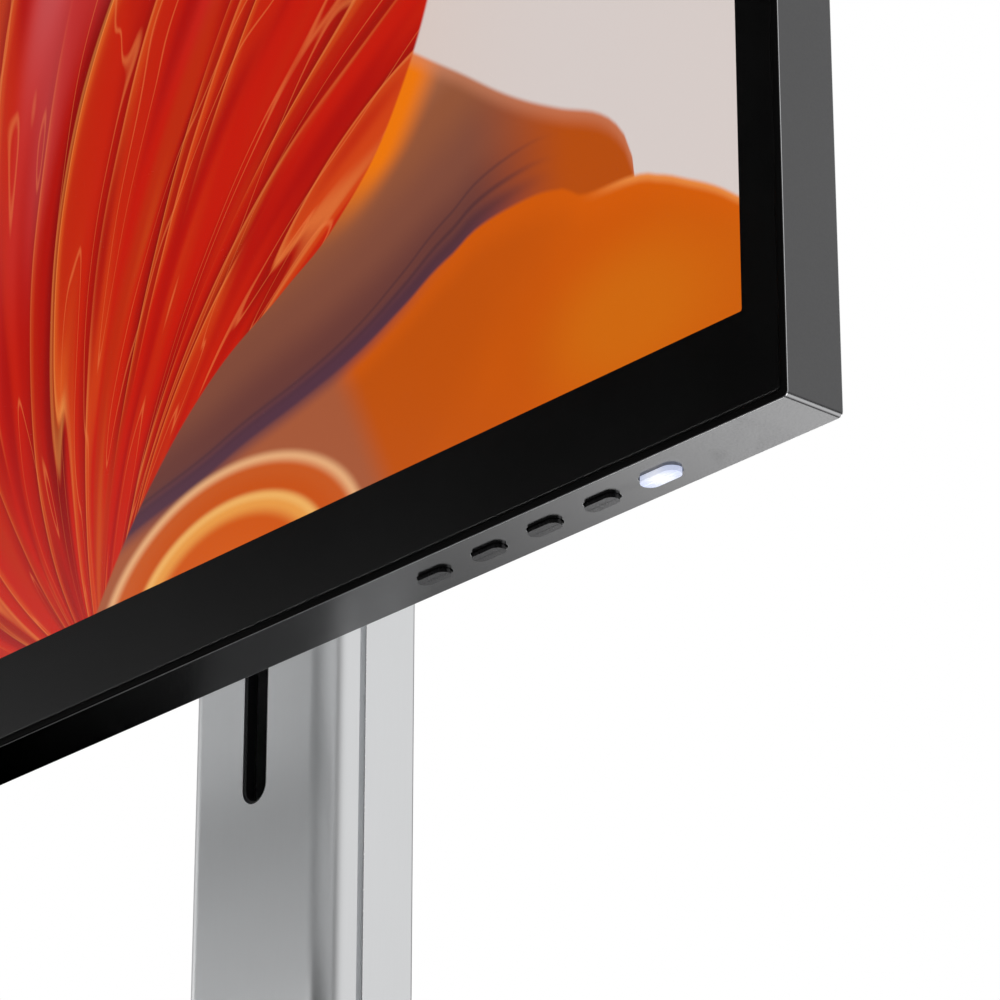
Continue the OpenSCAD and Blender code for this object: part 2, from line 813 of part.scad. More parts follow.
module back_pan() {
    color("lightgray") difference() {
        union() {
            layer(lcd_front + 1, pan_back - lcd_front - 1) picture_outline(pan_rim + pan_t);
            layer(ledge_back, pan_t) picture_outline(pan_rim + pan_t + pan_flange);
        }
        layer(lcd_front - 1, pan_back - pan_t - lcd_front + 1) picture_outline(pan_rim);
        layer(ledge_back - 1, pan_t + 2)
            translate([-tail_w / 2 - 1, tail_low - pan_flange])
                square([tail_w + 2, pan_flange + tail_t + 0.1]);
    }
}

module touch_board() {
    color("darkgreen") translate([-touch_board_w / 2, glass_y + pan_back, disp_zc + touch_board_z])
        cube([touch_board_w, board_t, touch_board_h]);
}

module touch_tail() {
    color("sandybrown") {
        translate([-tail_w / 2, glass_y + pan_back + 0.05, disp_zc + tail_low])
            cube([tail_w, tail_t, touch_board_z - tail_low]);
        translate([-tail_w / 2, glass_y + lcd_front, disp_zc + tail_low])
            cube([tail_w, pan_back + 0.05 + tail_t - lcd_front, tail_t]);
    }
}

// A plain board: centre x, lower edge above the display's centre, height
module board(x, low, h) {
    translate([x - board_w / 2, glass_y + board_y, disp_zc + low]) cube([board_w, board_t, h]);
}

// The four screw holes of a board centred at x
module board_hole_cuts(x) {
    for (p = board_holes)
        rod_along_y(x + p[0], glass_y + board_y - 1, disp_zc + p[1], board_screw_d + 0.5, board_t + 2);
}

module main_board() {
    color("darkgreen") difference() {
        board(-board_x, hump_floor + 1, board_h);
        board_hole_cuts(-board_x);
    }
}

module heat_sink() {
    fins = 9;
    side = 50;
    fin_t = 1.4;
    fin_h = 10;
    color("silver") translate([-board_x - side / 2, glass_y + board_y + board_t, disp_zc + 12]) {
        cube([side, 3, side]);
        for (i = [0:fins - 1])
            translate([i * (side - fin_t) / (fins - 1), 3 - eps, 0]) cube([fin_t, fin_h, side]);
    }
}

module power_board() {
    parts = [[-26, 30, 24, 14, 34], [12, 34, 28, 16, 26], [-22, -34, 18, 15, 18], [16, -20, 20, 12, 40]];
    color("darkgreen") difference() {
        board(board_x, inlet_l + hump_floor + 1, board_h - inlet_l + 10);
        board_hole_cuts(board_x);
    }
    color("goldenrod") for (p = parts)
        translate([board_x + p[0] - p[2] / 2, glass_y + board_y + board_t - eps, disp_zc + p[1] - p[4] / 2])
            cube([p[2], p[3], p[4]]);
}

module board_standoffs() {
    color("goldenrod") for (s = [-1, 1], p = board_holes) difference() {
        rod_along_y(s * board_x + p[0], glass_y + pan_back, disp_zc + p[1], 6, board_y - pan_back);
        rod_along_y(s * board_x + p[0], glass_y + board_y - 5, disp_zc + p[1], board_screw_d, 6);
    }
}

module board_screws() {
    color("gray") for (s = [-1, 1], p = board_holes)
        screw_forward(s * board_x + p[0], glass_y + board_y + board_t + board_head_t, disp_zc + p[1],
            board_screw_d, 7, board_head_t);
}

module speakers() {
    color([0.12, 0.12, 0.12]) for (s = [-1, 1])
        translate([s * speaker_x - speaker[0] / 2, glass_y + pan_back, disp_zc + speaker_z - speaker[1] / 2])
            cube([speaker[0], speaker[2], speaker[1]]);
}

module button_board() {
    posts = button_posts();
    color("darkgreen") difference() {
        translate([posts[0] - 3, glass_y + key_y - button_board_d / 2, display_z + button_board_z])
            cube([posts[1] - posts[0] + 6, button_board_d, button_board_t]);
        for (x = posts) translate([x, glass_y + key_y, display_z]) cylinder(h = 20, d = post_screw_d + 0.2);
    }
    color("silver") for (x = posts)
        translate([x, glass_y + key_y, display_z + button_board_z + button_board_t]) {
            cylinder(h = 1, d = 2 * post_screw_d);
            translate([0, 0, -3.5]) cylinder(h = 4, d = post_screw_d);
        }
}

module tact_switches() {
    color("gray") for (x = concat(key_x, [power_x]))
        translate([x - switch_side / 2, glass_y + key_y - switch_side / 2, display_z + switch_z])
            cube([switch_side, switch_side, switch_t]);
}

module power_led() {
    color("white")
        translate([power_x + switch_side / 2 + 0.4, glass_y + key_y - led.y / 2,
                display_z + button_board_z - led.z])
            cube(led);
}

// A metal socket that opens downwards, with a tongue standing in its mouth
module socket(x, y, size, wall, tongue) {
    z0 = disp_zc - hump_h / 2 + 0.4;
    translate([x - size[0] / 2, glass_y + y, z0]) {
        difference() {
            cube([size[0], size[1], size[2]]);
            translate([wall, wall, -1]) cube([size[0] - 2 * wall, size[1] - 2 * wall, size[2] - 2]);
        }
        if (tongue > 0)
            translate([wall + 1.2, wall + 0.6, 2]) cube([size[0] - 2 * wall - 2.4, tongue, size[2] - 3]);
    }
}

module usb_sockets() {
    color("silver") for (dx = usb_x) socket(main_x(dx), socket_y, usb, 0.6, 1.4);
}

module video_socket() {
    color("silver") socket(main_x(video_x), socket_y, video, 0.6, 1.2);
}

module network_socket() {
    color("silver") socket(main_x(network_x), socket_y, network, 1.6, 0);
}

module power_inlet() {
    z0 = disp_zc - hump_h / 2 + 0.4;
    wall = 1.8;
    pin = [2, 4, 12];
    pin_pitch = 7;
    color([0.06, 0.06, 0.06]) translate([board_x - inlet_w / 2, glass_y + board_y - 1, z0]) difference() {
        cube([inlet_w, inlet_h, inlet_l]);
        translate([wall, wall, -1]) cube([inlet_w - 2 * wall, inlet_h - 2 * wall, inlet_l - 4]);
    }
    color("silver") for (x = [-1, 0, 1])
        translate([board_x + x * pin_pitch - pin.x / 2, glass_y + board_y + 6.5 + (x == 0 ? pin.y : 0),
                z0 + inlet_l - 3 - pin.z])
            cube(pin);
}

module case_screws() {
    color("gray") for (p = cover_screws)
        screw_forward(p[0], glass_y + housing_back - 0.2, disp_zc + p[1],
            cover_screw_d, cover_screw_l, cover_head_t);
}

// ---------- Buttons ----------

// A button: cap outside, flange behind the wall, stem up to its switch
module key(x, l, w) {
    flange_z = housing_wall + face_gap;
    translate([x, glass_y + key_y, display_z]) {
        translate([0, 0, -key_proud]) linear_extrude(key_proud + flange_z + eps) pill(l, w);
        translate([0, 0, flange_z]) linear_extrude(key_flange_t) pill(l + 2 * key_flange, w + 2 * key_flange);
        translate([0, 0, flange_z]) cylinder(h = key_stem_top - flange_z, d = key_stem);
    }
}

module menu_button(i) {
    color([0.34, 0.34, 0.35]) key(key_x[i], key_len, key_w);
}

module power_button() {
    color([0.9, 0.93, 1]) key(power_x, power_len, power_w);
}

base_plate();
base_cover();
rubber_feet();
swivel_bush();
base_screws();
column_foot();
swivel_spindle();
swivel_washer();
swivel_nut();
column_front();
column_rear();
slot_liner();
column_cap();
top_block();
guide_rods();
gas_spring_cylinder();
column_screws();
carriage_block();
slide_bushes();
gas_spring_rod();
tilt_arm();
arm_screws();
mount_plate();
tilt_shaft();
friction_washers();
tilt_nuts();
mount_screws();
mount_posts();
housing_frame();
rear_cover();
cover_glass();
glass_gasket();
border_mask();
lcd_panel();
light_guide();
led_strip();
back_pan();
touch_board();
touch_tail();
main_board();
heat_sink();
power_board();
board_standoffs();
board_screws();
speakers();
button_board();
tact_switches();
power_led();
power_inlet();
video_socket();
usb_sockets();
network_socket();
case_screws();
menu_button(0);  // menu_button_1
menu_button(1);  // menu_button_2
menu_button(2);  // menu_button_3
menu_button(3);  // menu_button_4
power_button();
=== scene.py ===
"""Looks of the touchscreen kiosk: finishes, rounded edges, lit picture and studio.

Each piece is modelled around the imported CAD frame, and rides on the body whose nodes it stands for.
"""

import json
import logging
import math
from collections.abc import Callable, Sequence
from dataclasses import dataclass, field
from enum import Enum

import bmesh
import bpy
from mathutils import Matrix, Vector

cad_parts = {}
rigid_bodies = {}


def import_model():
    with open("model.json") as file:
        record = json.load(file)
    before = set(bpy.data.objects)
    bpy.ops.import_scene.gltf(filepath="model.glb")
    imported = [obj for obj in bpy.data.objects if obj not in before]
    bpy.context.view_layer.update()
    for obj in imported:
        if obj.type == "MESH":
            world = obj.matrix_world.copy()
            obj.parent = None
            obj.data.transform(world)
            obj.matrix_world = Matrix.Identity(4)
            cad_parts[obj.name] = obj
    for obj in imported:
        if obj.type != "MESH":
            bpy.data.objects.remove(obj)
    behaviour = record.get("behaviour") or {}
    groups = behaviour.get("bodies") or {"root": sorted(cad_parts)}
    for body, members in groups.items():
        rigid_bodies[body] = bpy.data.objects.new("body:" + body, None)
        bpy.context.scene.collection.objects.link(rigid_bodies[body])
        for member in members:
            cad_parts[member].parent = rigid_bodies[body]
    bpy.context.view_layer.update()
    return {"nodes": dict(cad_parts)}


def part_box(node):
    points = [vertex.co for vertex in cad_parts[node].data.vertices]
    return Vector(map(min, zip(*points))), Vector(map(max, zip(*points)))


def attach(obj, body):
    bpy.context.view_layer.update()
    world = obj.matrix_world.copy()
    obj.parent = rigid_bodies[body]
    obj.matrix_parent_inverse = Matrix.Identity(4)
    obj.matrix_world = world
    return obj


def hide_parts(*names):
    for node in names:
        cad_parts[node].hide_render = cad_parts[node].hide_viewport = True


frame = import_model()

MM = 0.001
# Points closer than this are one point, in metres
WELD = 1e-6
# In millimetres: touching, an edge that is long, and how far a cutter reaches past what it cuts
NEAR = 0.01
LONG = 10.0
PAST = 5.0
# The share of a full half circle that a pill's end takes up, so that the end keeps a narrow face
ALMOST_ROUND = 0.9995
Colour = tuple[float, float, float]
Socket = bpy.types.NodeSocket
Piece = bpy.types.Object
log = logging.getLogger("kiosk")


class Axis(Enum):
    """A direction that a prism, a hole or a drawn line runs along."""

    X = 0
    Y = 1
    Z = 2

    @property
    def vector(self) -> Vector:
        """The axis as a unit vector."""
        return Vector([1.0 if i == self.value else 0.0 for i in range(3)])


def ink(red: int, green: int, blue: int) -> Colour:
    """Turns a screen colour into the linear colour that shaders use.

    Args:
        red: Red, 0 to 255.
        green: Green, 0 to 255.
        blue: Blue, 0 to 255.

    Returns:
        The colour in linear light.
    """
    parts = (c / 255 for c in (red, green, blue))
    return tuple(c / 12.92 if c <= 10 / 255 else ((c + 0.055) / 1.055) ** 2.4 for c in parts)


def shade(colour: Colour, factor: float) -> Colour:
    """A colour made lighter or darker by a factor."""
    return tuple(min(1.0, c * factor) for c in colour)


def span(node: str) -> tuple[Vector, Vector]:
    """A CAD node's lowest and highest corners at rest, in millimetres."""
    low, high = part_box(node)
    return low / MM, high / MM


# ---------- Modelling ----------


class Bench:
    """The modelling moves that all pieces share. Places and sizes are in millimetres."""

    @staticmethod
    def pick(piece: Piece) -> None:
        """Makes a piece the only selected object, and the active one."""
        if bpy.context.object and bpy.context.object.mode != "OBJECT":
            bpy.ops.object.mode_set(mode="OBJECT")
        bpy.ops.object.select_all(action="DESELECT")
        piece.select_set(True)
        bpy.context.view_layer.objects.active = piece

    @staticmethod
    def settle(name: str) -> Piece:
        """Names the new active object and puts its place and turn into its mesh."""
        piece = bpy.context.active_object
        piece.name = name
        piece.data.name = name
        bpy.ops.object.transform_apply(location=True, rotation=True, scale=True)
        return piece

    @classmethod
    def block(cls, name: str, low: Sequence[float], high: Sequence[float]) -> Piece:
        """Adds a block between two corners.

        Args:
            name: The piece's name.
            low: Lowest corner.
            high: Highest corner.

        Returns:
            The new block, at the origin, with its place in its mesh.
        """
        bpy.ops.object.select_all(action="DESELECT")
        middle = [(a + b) / 2 * MM for a, b in zip(low, high)]
        bpy.ops.mesh.primitive_cube_add(size=1.0, location=middle)
        bpy.context.active_object.scale = [(b - a) * MM for a, b in zip(low, high)]
        return cls.settle(name)

    @classmethod
    def rod(
        cls, name: str, axis: Axis, base: Sequence[float], length: float, across: float, sides: int
    ) -> Piece:
        """Adds a round or many-sided rod.

        Args:
            name: The piece's name.
            axis: The direction that it runs along.
            base: Centre of its lower end.
            length: Its length.
            across: Its diameter over the corners.
            sides: How many sides it has.

        Returns:
            The new rod.
        """
        bpy.ops.object.select_all(action="DESELECT")
        turn = {Axis.X: (0, math.pi / 2, 0), Axis.Y: (math.pi / 2, 0, 0), Axis.Z: (0, 0, 0)}[axis]
        middle = (Vector(base) + axis.vector * length / 2) * MM
        bpy.ops.mesh.primitive_cylinder_add(
            vertices=sides, radius=across / 2 * MM, depth=length * MM, location=middle, rotation=turn
        )
        return cls.settle(name)

    @classmethod
    def choose(cls, piece: Piece, kind: str, wanted: Callable[[object], bool]) -> None:
        """Goes into edit mode with only the wanted edges or faces selected.

        Args:
            piece: The piece to edit.
            kind: "edges" or "faces".
            wanted: Says whether an edge or a face is selected.
        """
        cls.pick(piece)
        bpy.ops.object.mode_set(mode="EDIT")
        bpy.context.tool_settings.mesh_select_mode = (False, kind == "edges", kind == "faces")
        bpy.ops.mesh.select_all(action="DESELECT")
        mesh = bmesh.from_edit_mesh(piece.data)
        for part in getattr(mesh, kind):
            if wanted(part):
                part.select_set(True)
        bmesh.update_edit_mesh(piece.data)

    @staticmethod
    def leave() -> None:
        """Goes back to object mode."""
        bpy.ops.object.mode_set(mode="OBJECT")

    @classmethod
    def bevel(
        cls,
        piece: Piece,
        wanted: Callable[[bmesh.types.BMEdge], bool],
        width: float,
        segments: int = 3,
        worn: bool = False,
    ) -> None:
        """Rounds chosen edges.

        Args:
            piece: The piece to round.
            wanted: Says whether an edge is rounded.
            width: How far the rounding reaches from the edge.
            segments: How many strips it has.
            worn: Whether the new strips take the piece's second finish.
        """
        cls.choose(piece, "edges", wanted)
        bpy.ops.mesh.bevel(
            offset_type="OFFSET",
            offset=width * MM,
            segments=segments,
            profile=0.5,
            affect="EDGES",
            clamp_overlap=True,
            material=1 if worn else -1,
        )
        bpy.ops.mesh.select_all(action="SELECT")
        bpy.ops.mesh.remove_doubles(threshold=WELD)
        cls.leave()

    @classmethod
    def round_prism(cls, piece: Piece, axis: Axis, radius: float, segments: int = 8) -> None:
        """Rounds all the edges of a block that run along an axis.

        Args:
            piece: The block.
            axis: The axis that the edges run along.
            radius: Their new radius.
            segments: How many strips each has.
        """

        def along(edge: bmesh.types.BMEdge) -> bool:
            """Whether the edge runs along the axis."""
            run = edge.verts[1].co - edge.verts[0].co
            return abs(run.normalized().dot(axis.vector)) > 0.999

        cls.bevel(piece, along, radius, segments)

    @classmethod
    def round_ends(
        cls, piece: Piece, axis: Axis, place: float, width: float, segments: int = 3, worn: bool = True
    ) -> None:
        """Rounds the sharp edges that lie in one plane across an axis.

        Args:
            piece: The piece to round.
            axis: The axis that the plane is across.
            place: Where the plane is along it.
            width: How far the rounding reaches.
            segments: How many strips it has.
            worn: Whether the strips take the worn finish.
        """
        i = axis.value

        def in_plane(edge: bmesh.types.BMEdge) -> bool:
            """Whether the edge lies in the plane and is sharp."""
            flat = all(abs(v.co[i] / MM - place) < 0.004 for v in edge.verts)
            return flat and len(edge.link_faces) == 2 and edge.calc_face_angle(0.0) > 0.5

        cls.bevel(piece, in_plane, width, segments, worn)

    @staticmethod
    def paint(piece: Piece, *finishes: "Finish") -> None:
        """Gives a piece its materials in order, in place of any that it has."""
        piece.data.materials.clear()
        for finish in finishes:
            piece.data.materials.append(finish.make())

    @classmethod
    def cut(cls, piece: Piece, *cutters: Piece) -> None:
        """Cuts pieces out of another piece, and throws the cutters away."""
        for cutter in cutters:
            cls.combine(piece, cutter, "DIFFERENCE")

    @classmethod
    def fuse(cls, piece: Piece, *others: Piece) -> None:
        """Makes other pieces part of this one, with no walls left between them."""
        for other in others:
            cls.combine(piece, other, "UNION")

    @classmethod
    def combine(cls, piece: Piece, other: Piece, how: str) -> None:
        """Applies a Boolean modifier with another piece, which is then removed.

        Args:
            piece: The piece that is changed.
            other: The piece that it is combined with.
            how: The modifier's operation.
        """
        change = piece.modifiers.new("combine", "BOOLEAN")
        change.operation = how
        change.solver = "EXACT"
        change.object = other
        cls.pick(piece)
        bpy.ops.object.modifier_apply(modifier=change.name)
        bpy.data.objects.remove(other, do_unlink=True)

    @classmethod
    def row(cls, piece: Piece, step: Sequence[float], count: int) -> None:
        """Repeats a piece in a row.

        Args:
            piece: The piece to repeat.
            step: From one copy to the next.
            count: How many there are in all.
        """
        repeat = piece.modifiers.new("row", "ARRAY")
        repeat.use_relative_offset = False
        repeat.use_constant_offset = True
        repeat.constant_offset_displace = [s * MM for s in step]
        repeat.count = count
        cls.pick(piece)
        bpy.ops.object.modifier_apply(modifier=repeat.name)

    @classmethod
    def join(cls, pieces: Sequence[Piece]) -> Piece:
        """Puts several pieces' meshes in the first one.

        Args:
            pieces: The pieces to put together.

        Returns:
            The first piece, with all the meshes.
        """
        cls.pick(pieces[0])
        for piece in pieces:
            piece.select_set(True)
        if len(pieces) > 1:
            bpy.ops.object.join()
        return pieces[0]

    @classmethod
    def copy(cls, piece: Piece, name: str, move: Sequence[float] = (0, 0, 0)) -> Piece:
        """Copies a piece with its own mesh, and moves the copy in its mesh.

        Args:
            piece: The piece to copy.
            name: The copy's name.
            move: How far the copy goes.

        Returns:
            The copy.
        """
        cls.pick(piece)
        bpy.ops.object.duplicate(linked=False)
        twin = bpy.context.active_object
        if twin.parent:
            bpy.ops.object.parent_clear(type="CLEAR_KEEP_TRANSFORM")
        twin.name = name
        twin.data.name = name
        twin.data.transform(Matrix.Translation(Vector(move) * MM))
        return twin

    @classmethod
    def node_copy(cls, node: str, name: str) -> Piece:
        """Copies a CAD node's mesh, with its loose triangles welded and its flat faces made whole.

        Args:
            node: The CAD node.
            name: The copy's name.

        Returns:
            The copy, without materials.
        """
        twin = cls.copy(frame["nodes"][node], name)
        twin.data.materials.clear()
        cls.choose(twin, "faces", lambda face: True)
        bpy.ops.mesh.remove_doubles(threshold=2 * WELD)
        bpy.ops.mesh.select_all(action="SELECT")
        bpy.ops.mesh.dissolve_limited(angle_limit=math.radians(0.6))
        cls.leave()
        return twin

    @classmethod
    def soften(cls, piece: Piece, width: float, segments: int = 2, angle: float = 40.0) -> None:
        """Rounds every sharp edge with a Bevel modifier.

        Args:
            piece: The piece to round.
            width: How far the rounding reaches.
            segments: How many strips it has.
            angle: How sharp an edge has to be, in degrees.
        """
        rounding = piece.modifiers.new("soften", "BEVEL")
        rounding.width = width * MM
        rounding.segments = segments
        rounding.limit_method = "ANGLE"
        rounding.angle_limit = math.radians(angle)
        rounding.use_clamp_overlap = True
        rounding.material = 1 if len(piece.data.materials) > 1 else -1
        cls.pick(piece)
        bpy.ops.object.modifier_apply(modifier=rounding.name)

    @classmethod
    def tidy(cls, piece: Piece, angle: float = 28.0) -> None:
        """Welds the mesh, turns its faces outwards and smooths its shading between sharp edges.

        Args:
            piece: The piece to clean.
            angle: How sharp an edge has to be to stay sharp, in degrees.
        """
        cls.choose(piece, "faces", lambda face: True)
        bpy.ops.mesh.remove_doubles(threshold=WELD)
        bpy.ops.mesh.select_all(action="SELECT")
        bpy.ops.mesh.normals_make_consistent(inside=False)
        cls.leave()
        bpy.ops.object.shade_smooth_by_angle(angle=math.radians(angle))
        even = piece.modifiers.new("even", "WEIGHTED_NORMAL")
        even.mode = "FACE_AREA"
        even.weight = 100
        even.keep_sharp = True
        bpy.ops.object.modifier_apply(modifier=even.name)


def islands(node: str) -> list[tuple[Vector, Vector]]:
    """Finds a CAD node's separate solids.

    Args:
        node: The node's name.

    Returns:
        The low and high corners of each solid, in millimetres.
    """
    mesh = frame["nodes"][node].data
    parent: dict[tuple, tuple] = {}

    def root(key: tuple) -> tuple:
        """The corner that stands for a corner's whole solid."""
        parent.setdefault(key, key)
        while parent[key] != key:
            key = parent[key]
        return key

    keys = [tuple(round(c / MM, 2) for c in v.co) for v in mesh.vertices]
    for face in mesh.polygons:
        first = root(keys[face.vertices[0]])
        for i in face.vertices[1:]:
            parent[root(keys[i])] = first
    groups: dict[tuple, list[tuple]] = {}
    for key in set(keys):
        groups.setdefault(root(key), []).append(key)
    boxes = [(Vector(map(min, zip(*g))), Vector(map(max, zip(*g)))) for g in groups.values()]
    return sorted(boxes, key=lambda box: tuple(box[0]))


def install(piece: Piece, body: str, slot: str, finishes: Sequence["Finish"], *nodes: str) -> Piece:
    """Dresses a finished piece and ties it to the frame.

    Args:
        piece: The piece.
        body: The CAD body that it moves with.
        slot: The record's material slot for its finish; not used.
        finishes: Its main finish, then the one on its worn edges.
        nodes: The CAD nodes that it stands for.

    Returns:
        The same piece.
    """
    for i, finish in enumerate(finishes):
        if i < len(piece.data.materials):
            piece.data.materials[i] = finish.make()
        else:
            piece.data.materials.append(finish.make())
    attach(piece, body)
    if nodes:
        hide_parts(*nodes)
    log.info("%s: %d faces on %s", piece.name, len(piece.data.polygons), body)
    return piece


# ---------- Finishes ----------


class NodeSheet:
    """A material's node tree, written a line at a time. Patterns sit on Object coordinates."""

    def __init__(self, name: str) -> None:
        """Starts an empty tree with an output and the piece's coordinates.

        Args:
            name: The material's name.
        """
        self.material = bpy.data.materials.new(name)
        self.material.use_nodes = True
        self.tree = self.material.node_tree
        self.tree.nodes.clear()
        self.output = self.new("OutputMaterial")
        self.place = self.new("TexCoord").outputs["Object"]

    @classmethod
    def on(cls, tree: bpy.types.NodeTree) -> "NodeSheet":
        """A sheet that writes on a tree that is already there."""
        sheet = cls.__new__(cls)
        sheet.tree = tree
        return sheet

    def new(self, kind: str, **settings: object) -> bpy.types.Node:
        """Adds a shader node, and sets it up."""
        node = self.tree.nodes.new("ShaderNode" + kind)
        for name, value in settings.items():
            setattr(node, name, value)
        return node

    def split(self, place: Socket) -> Sequence[Socket]:
        """Takes a vector apart into its three numbers."""
        node = self.new("SeparateXYZ")
        self.put(node.inputs[0], place)
        return node.outputs

    def put(self, target: Socket, value: object) -> None:
        """Links a socket, or sets its value.

        Args:
            target: The socket that is fed.
            value: Another socket, a colour or a number.
        """
        if isinstance(value, bpy.types.NodeSocket):
            self.tree.links.new(value, target)
        elif isinstance(value, tuple) and len(value) == 3 and target.type == "RGBA":
            target.default_value = (*value, 1.0)
        else:
            target.default_value = value

    def calc(self, operation: str, *values: object) -> Socket:
        """Adds a Math node.

        Args:
            operation: What it works out.
            values: What it works with.

        Returns:
            Its result.
        """
        node = self.new("Math", operation=operation)
        for target, value in zip(node.inputs, values):
            self.put(target, value)
        return node.outputs[0]

    def plus(self, first: object, second: object) -> Socket:
        """The sum of two numbers."""
        return self.calc("ADD", first, second)

    def minus(self, first: object, second: object) -> Socket:
        """The first number less the second."""
        return self.calc("SUBTRACT", first, second)

    def times(self, first: object, second: object) -> Socket:
        """The product of two numbers."""
        return self.calc("MULTIPLY", first, second)

    def times_plus(self, first: object, second: object, third: object) -> Socket:
        """The product of two numbers, plus a third."""
        return self.calc("MULTIPLY_ADD", first, second, third)

    def length(self, across: Socket, up: Socket) -> Socket:
        """How long a line is that runs so far across and up."""
        squares = [self.calc("POWER", value, 2.0) for value in (across, up)]
        return self.calc("SQRT", self.plus(*squares))

    def mix(self, factor: Socket, first: Socket, second: Socket) -> Socket:
        """Mixes two shaders by a factor."""
        node = self.new("MixShader")
        for target, value in zip(node.inputs, (factor, first, second)):
            self.put(target, value)
        return node.outputs[0]

    def fit(
        self, value: Socket, low: float, high: float, to_low: float = 0.0, to_high: float = 1.0
    ) -> Socket:
        """Maps a range onto another smoothly, and holds it at the ends.

        Args:
            value: What is mapped.
            low: Where the range starts.
            high: Where it ends.
            to_low: What low becomes.
            to_high: What high becomes.

        Returns:
            The mapped value.
        """
        node = self.new("MapRange", interpolation_type="SMOOTHSTEP")
        for target, item in zip(node.inputs, (value, low, high, to_low, to_high)):
            self.put(target, item)
        return node.outputs[0]

    def curve(self, value: Socket, points: Sequence[tuple[float, float]]) -> Socket:
        """Reads a value off a smooth line drawn through points.

        Args:
            value: The value along the line.
            points: The line's points, in order.

        Returns:
            The line's height at that value.
        """
        node = self.new("FloatCurve")
        start, end = points[0][0], points[-1][0]
        low, high = min(p[1] for p in points), max(p[1] for p in points)
        line = node.mapping.curves[0]
        for _ in points[2:]:
            line.points.new(0.5, 0.5)
        for knot, (x, y) in zip(line.points, points):
            knot.location = ((x - start) / (end - start), (y - low) / (high - low))
        node.mapping.update()
        self.put(node.inputs["Value"], self.calc("DIVIDE", self.minus(value, start), end - start))
        return self.times_plus(node.outputs[0], high - low, low)

    def stretch(self, scale: Colour, source: Socket | None = None) -> Socket:
        """Coordinates scaled by a different amount along each axis."""
        node = self.new("Mapping")
        self.put(node.inputs["Vector"], source or self.place)
        node.inputs["Scale"].default_value = scale
        return node.outputs[0]

    def noise(
        self, scale: float, detail: float = 2.0, place: Socket | None = None, distortion: float = 0.0
    ) -> Socket:
        """Adds a noise pattern, with features about 1/scale metres across.

        Args:
            scale: How fine the pattern is.
            detail: How many finer layers lie on it.
            place: Its coordinates, or the piece's own.
            distortion: How much it is warped.

        Returns:
            The pattern, 0 to 1.
        """
        node = self.new("TexNoise")
        self.put(node.inputs["Vector"], place or self.place)
        node.inputs["Scale"].default_value = scale
        node.inputs["Detail"].default_value = detail
        node.inputs["Distortion"].default_value = distortion
        return node.outputs["Fac"]

    def ramp(self, value: Socket, stops: Sequence[tuple[float, Colour]]) -> Socket:
        """Turns a value into a colour along a row of stops.

        Args:
            value: The value, 0 to 1.
            stops: Where each colour stands, in order.

        Returns:
            The colour at that value.
        """
        node = self.new("ValToRGB")
        bar = node.color_ramp
        bar.interpolation = "EASE"
        while len(bar.elements) < len(stops):
            bar.elements.new(0.5)
        for element, (place, colour) in zip(bar.elements, stops):
            element.position = place
            element.color = (*colour, 1.0)
        self.put(node.inputs[0], value)
        return node.outputs[0]

    def over(self, mask: object, below: object, above: object) -> Socket:
        """Lays one colour over another.

        Args:
            mask: Where the upper colour shows, 0 to 1.
            below: The lower colour.
            above: The upper colour.

        Returns:
            The colour of both.
        """
        node = self.new("Mix", data_type="RGBA")
        self.put(node.inputs[0], mask)
        self.put(node.inputs[6], below)
        self.put(node.inputs[7], above)
        return node.outputs[2]

    def bump(self, height: Socket, strength: float, depth: float) -> Socket:
        """Turns a height into a bumped normal.

        Args:
            height: The height, 0 to 1.
            strength: How much of it shows.
            depth: How deep it is, in millimetres.

        Returns:
            The normal.
        """
        node = self.new("Bump")
        node.inputs["Strength"].default_value = strength
        node.inputs["Distance"].default_value = depth * MM
        self.put(node.inputs["Height"], height)
        return node.outputs[0]

    def surface(self, **values: object) -> bpy.types.Node:
        """Ends the tree in a Principled shader.

        Args:
            values: What its sockets take, with _ for each space in a socket's name.

        Returns:
            The shader's node.
        """
        node = self.new("BsdfPrincipled")
        for name, value in values.items():
            self.put(node.inputs[name.replace("_", " ")], value)
        self.tree.links.new(node.outputs[0], self.output.inputs["Surface"])
        return node


@dataclass(frozen=True)
class Finish:
    """What every finish has: a name, and a material that is made once."""

    name: str

    def make(self) -> bpy.types.Material:
        """Makes the finish's material once.

        Returns:
            The material.
        """
        found = bpy.data.materials.get(self.name)
        if found:
            return found
        sheet = NodeSheet(self.name)
        self.fill(sheet)
        return sheet.material

    def fill(self, sheet: NodeSheet) -> None:
        """Writes the finish's nodes on the sheet."""
        raise NotImplementedError


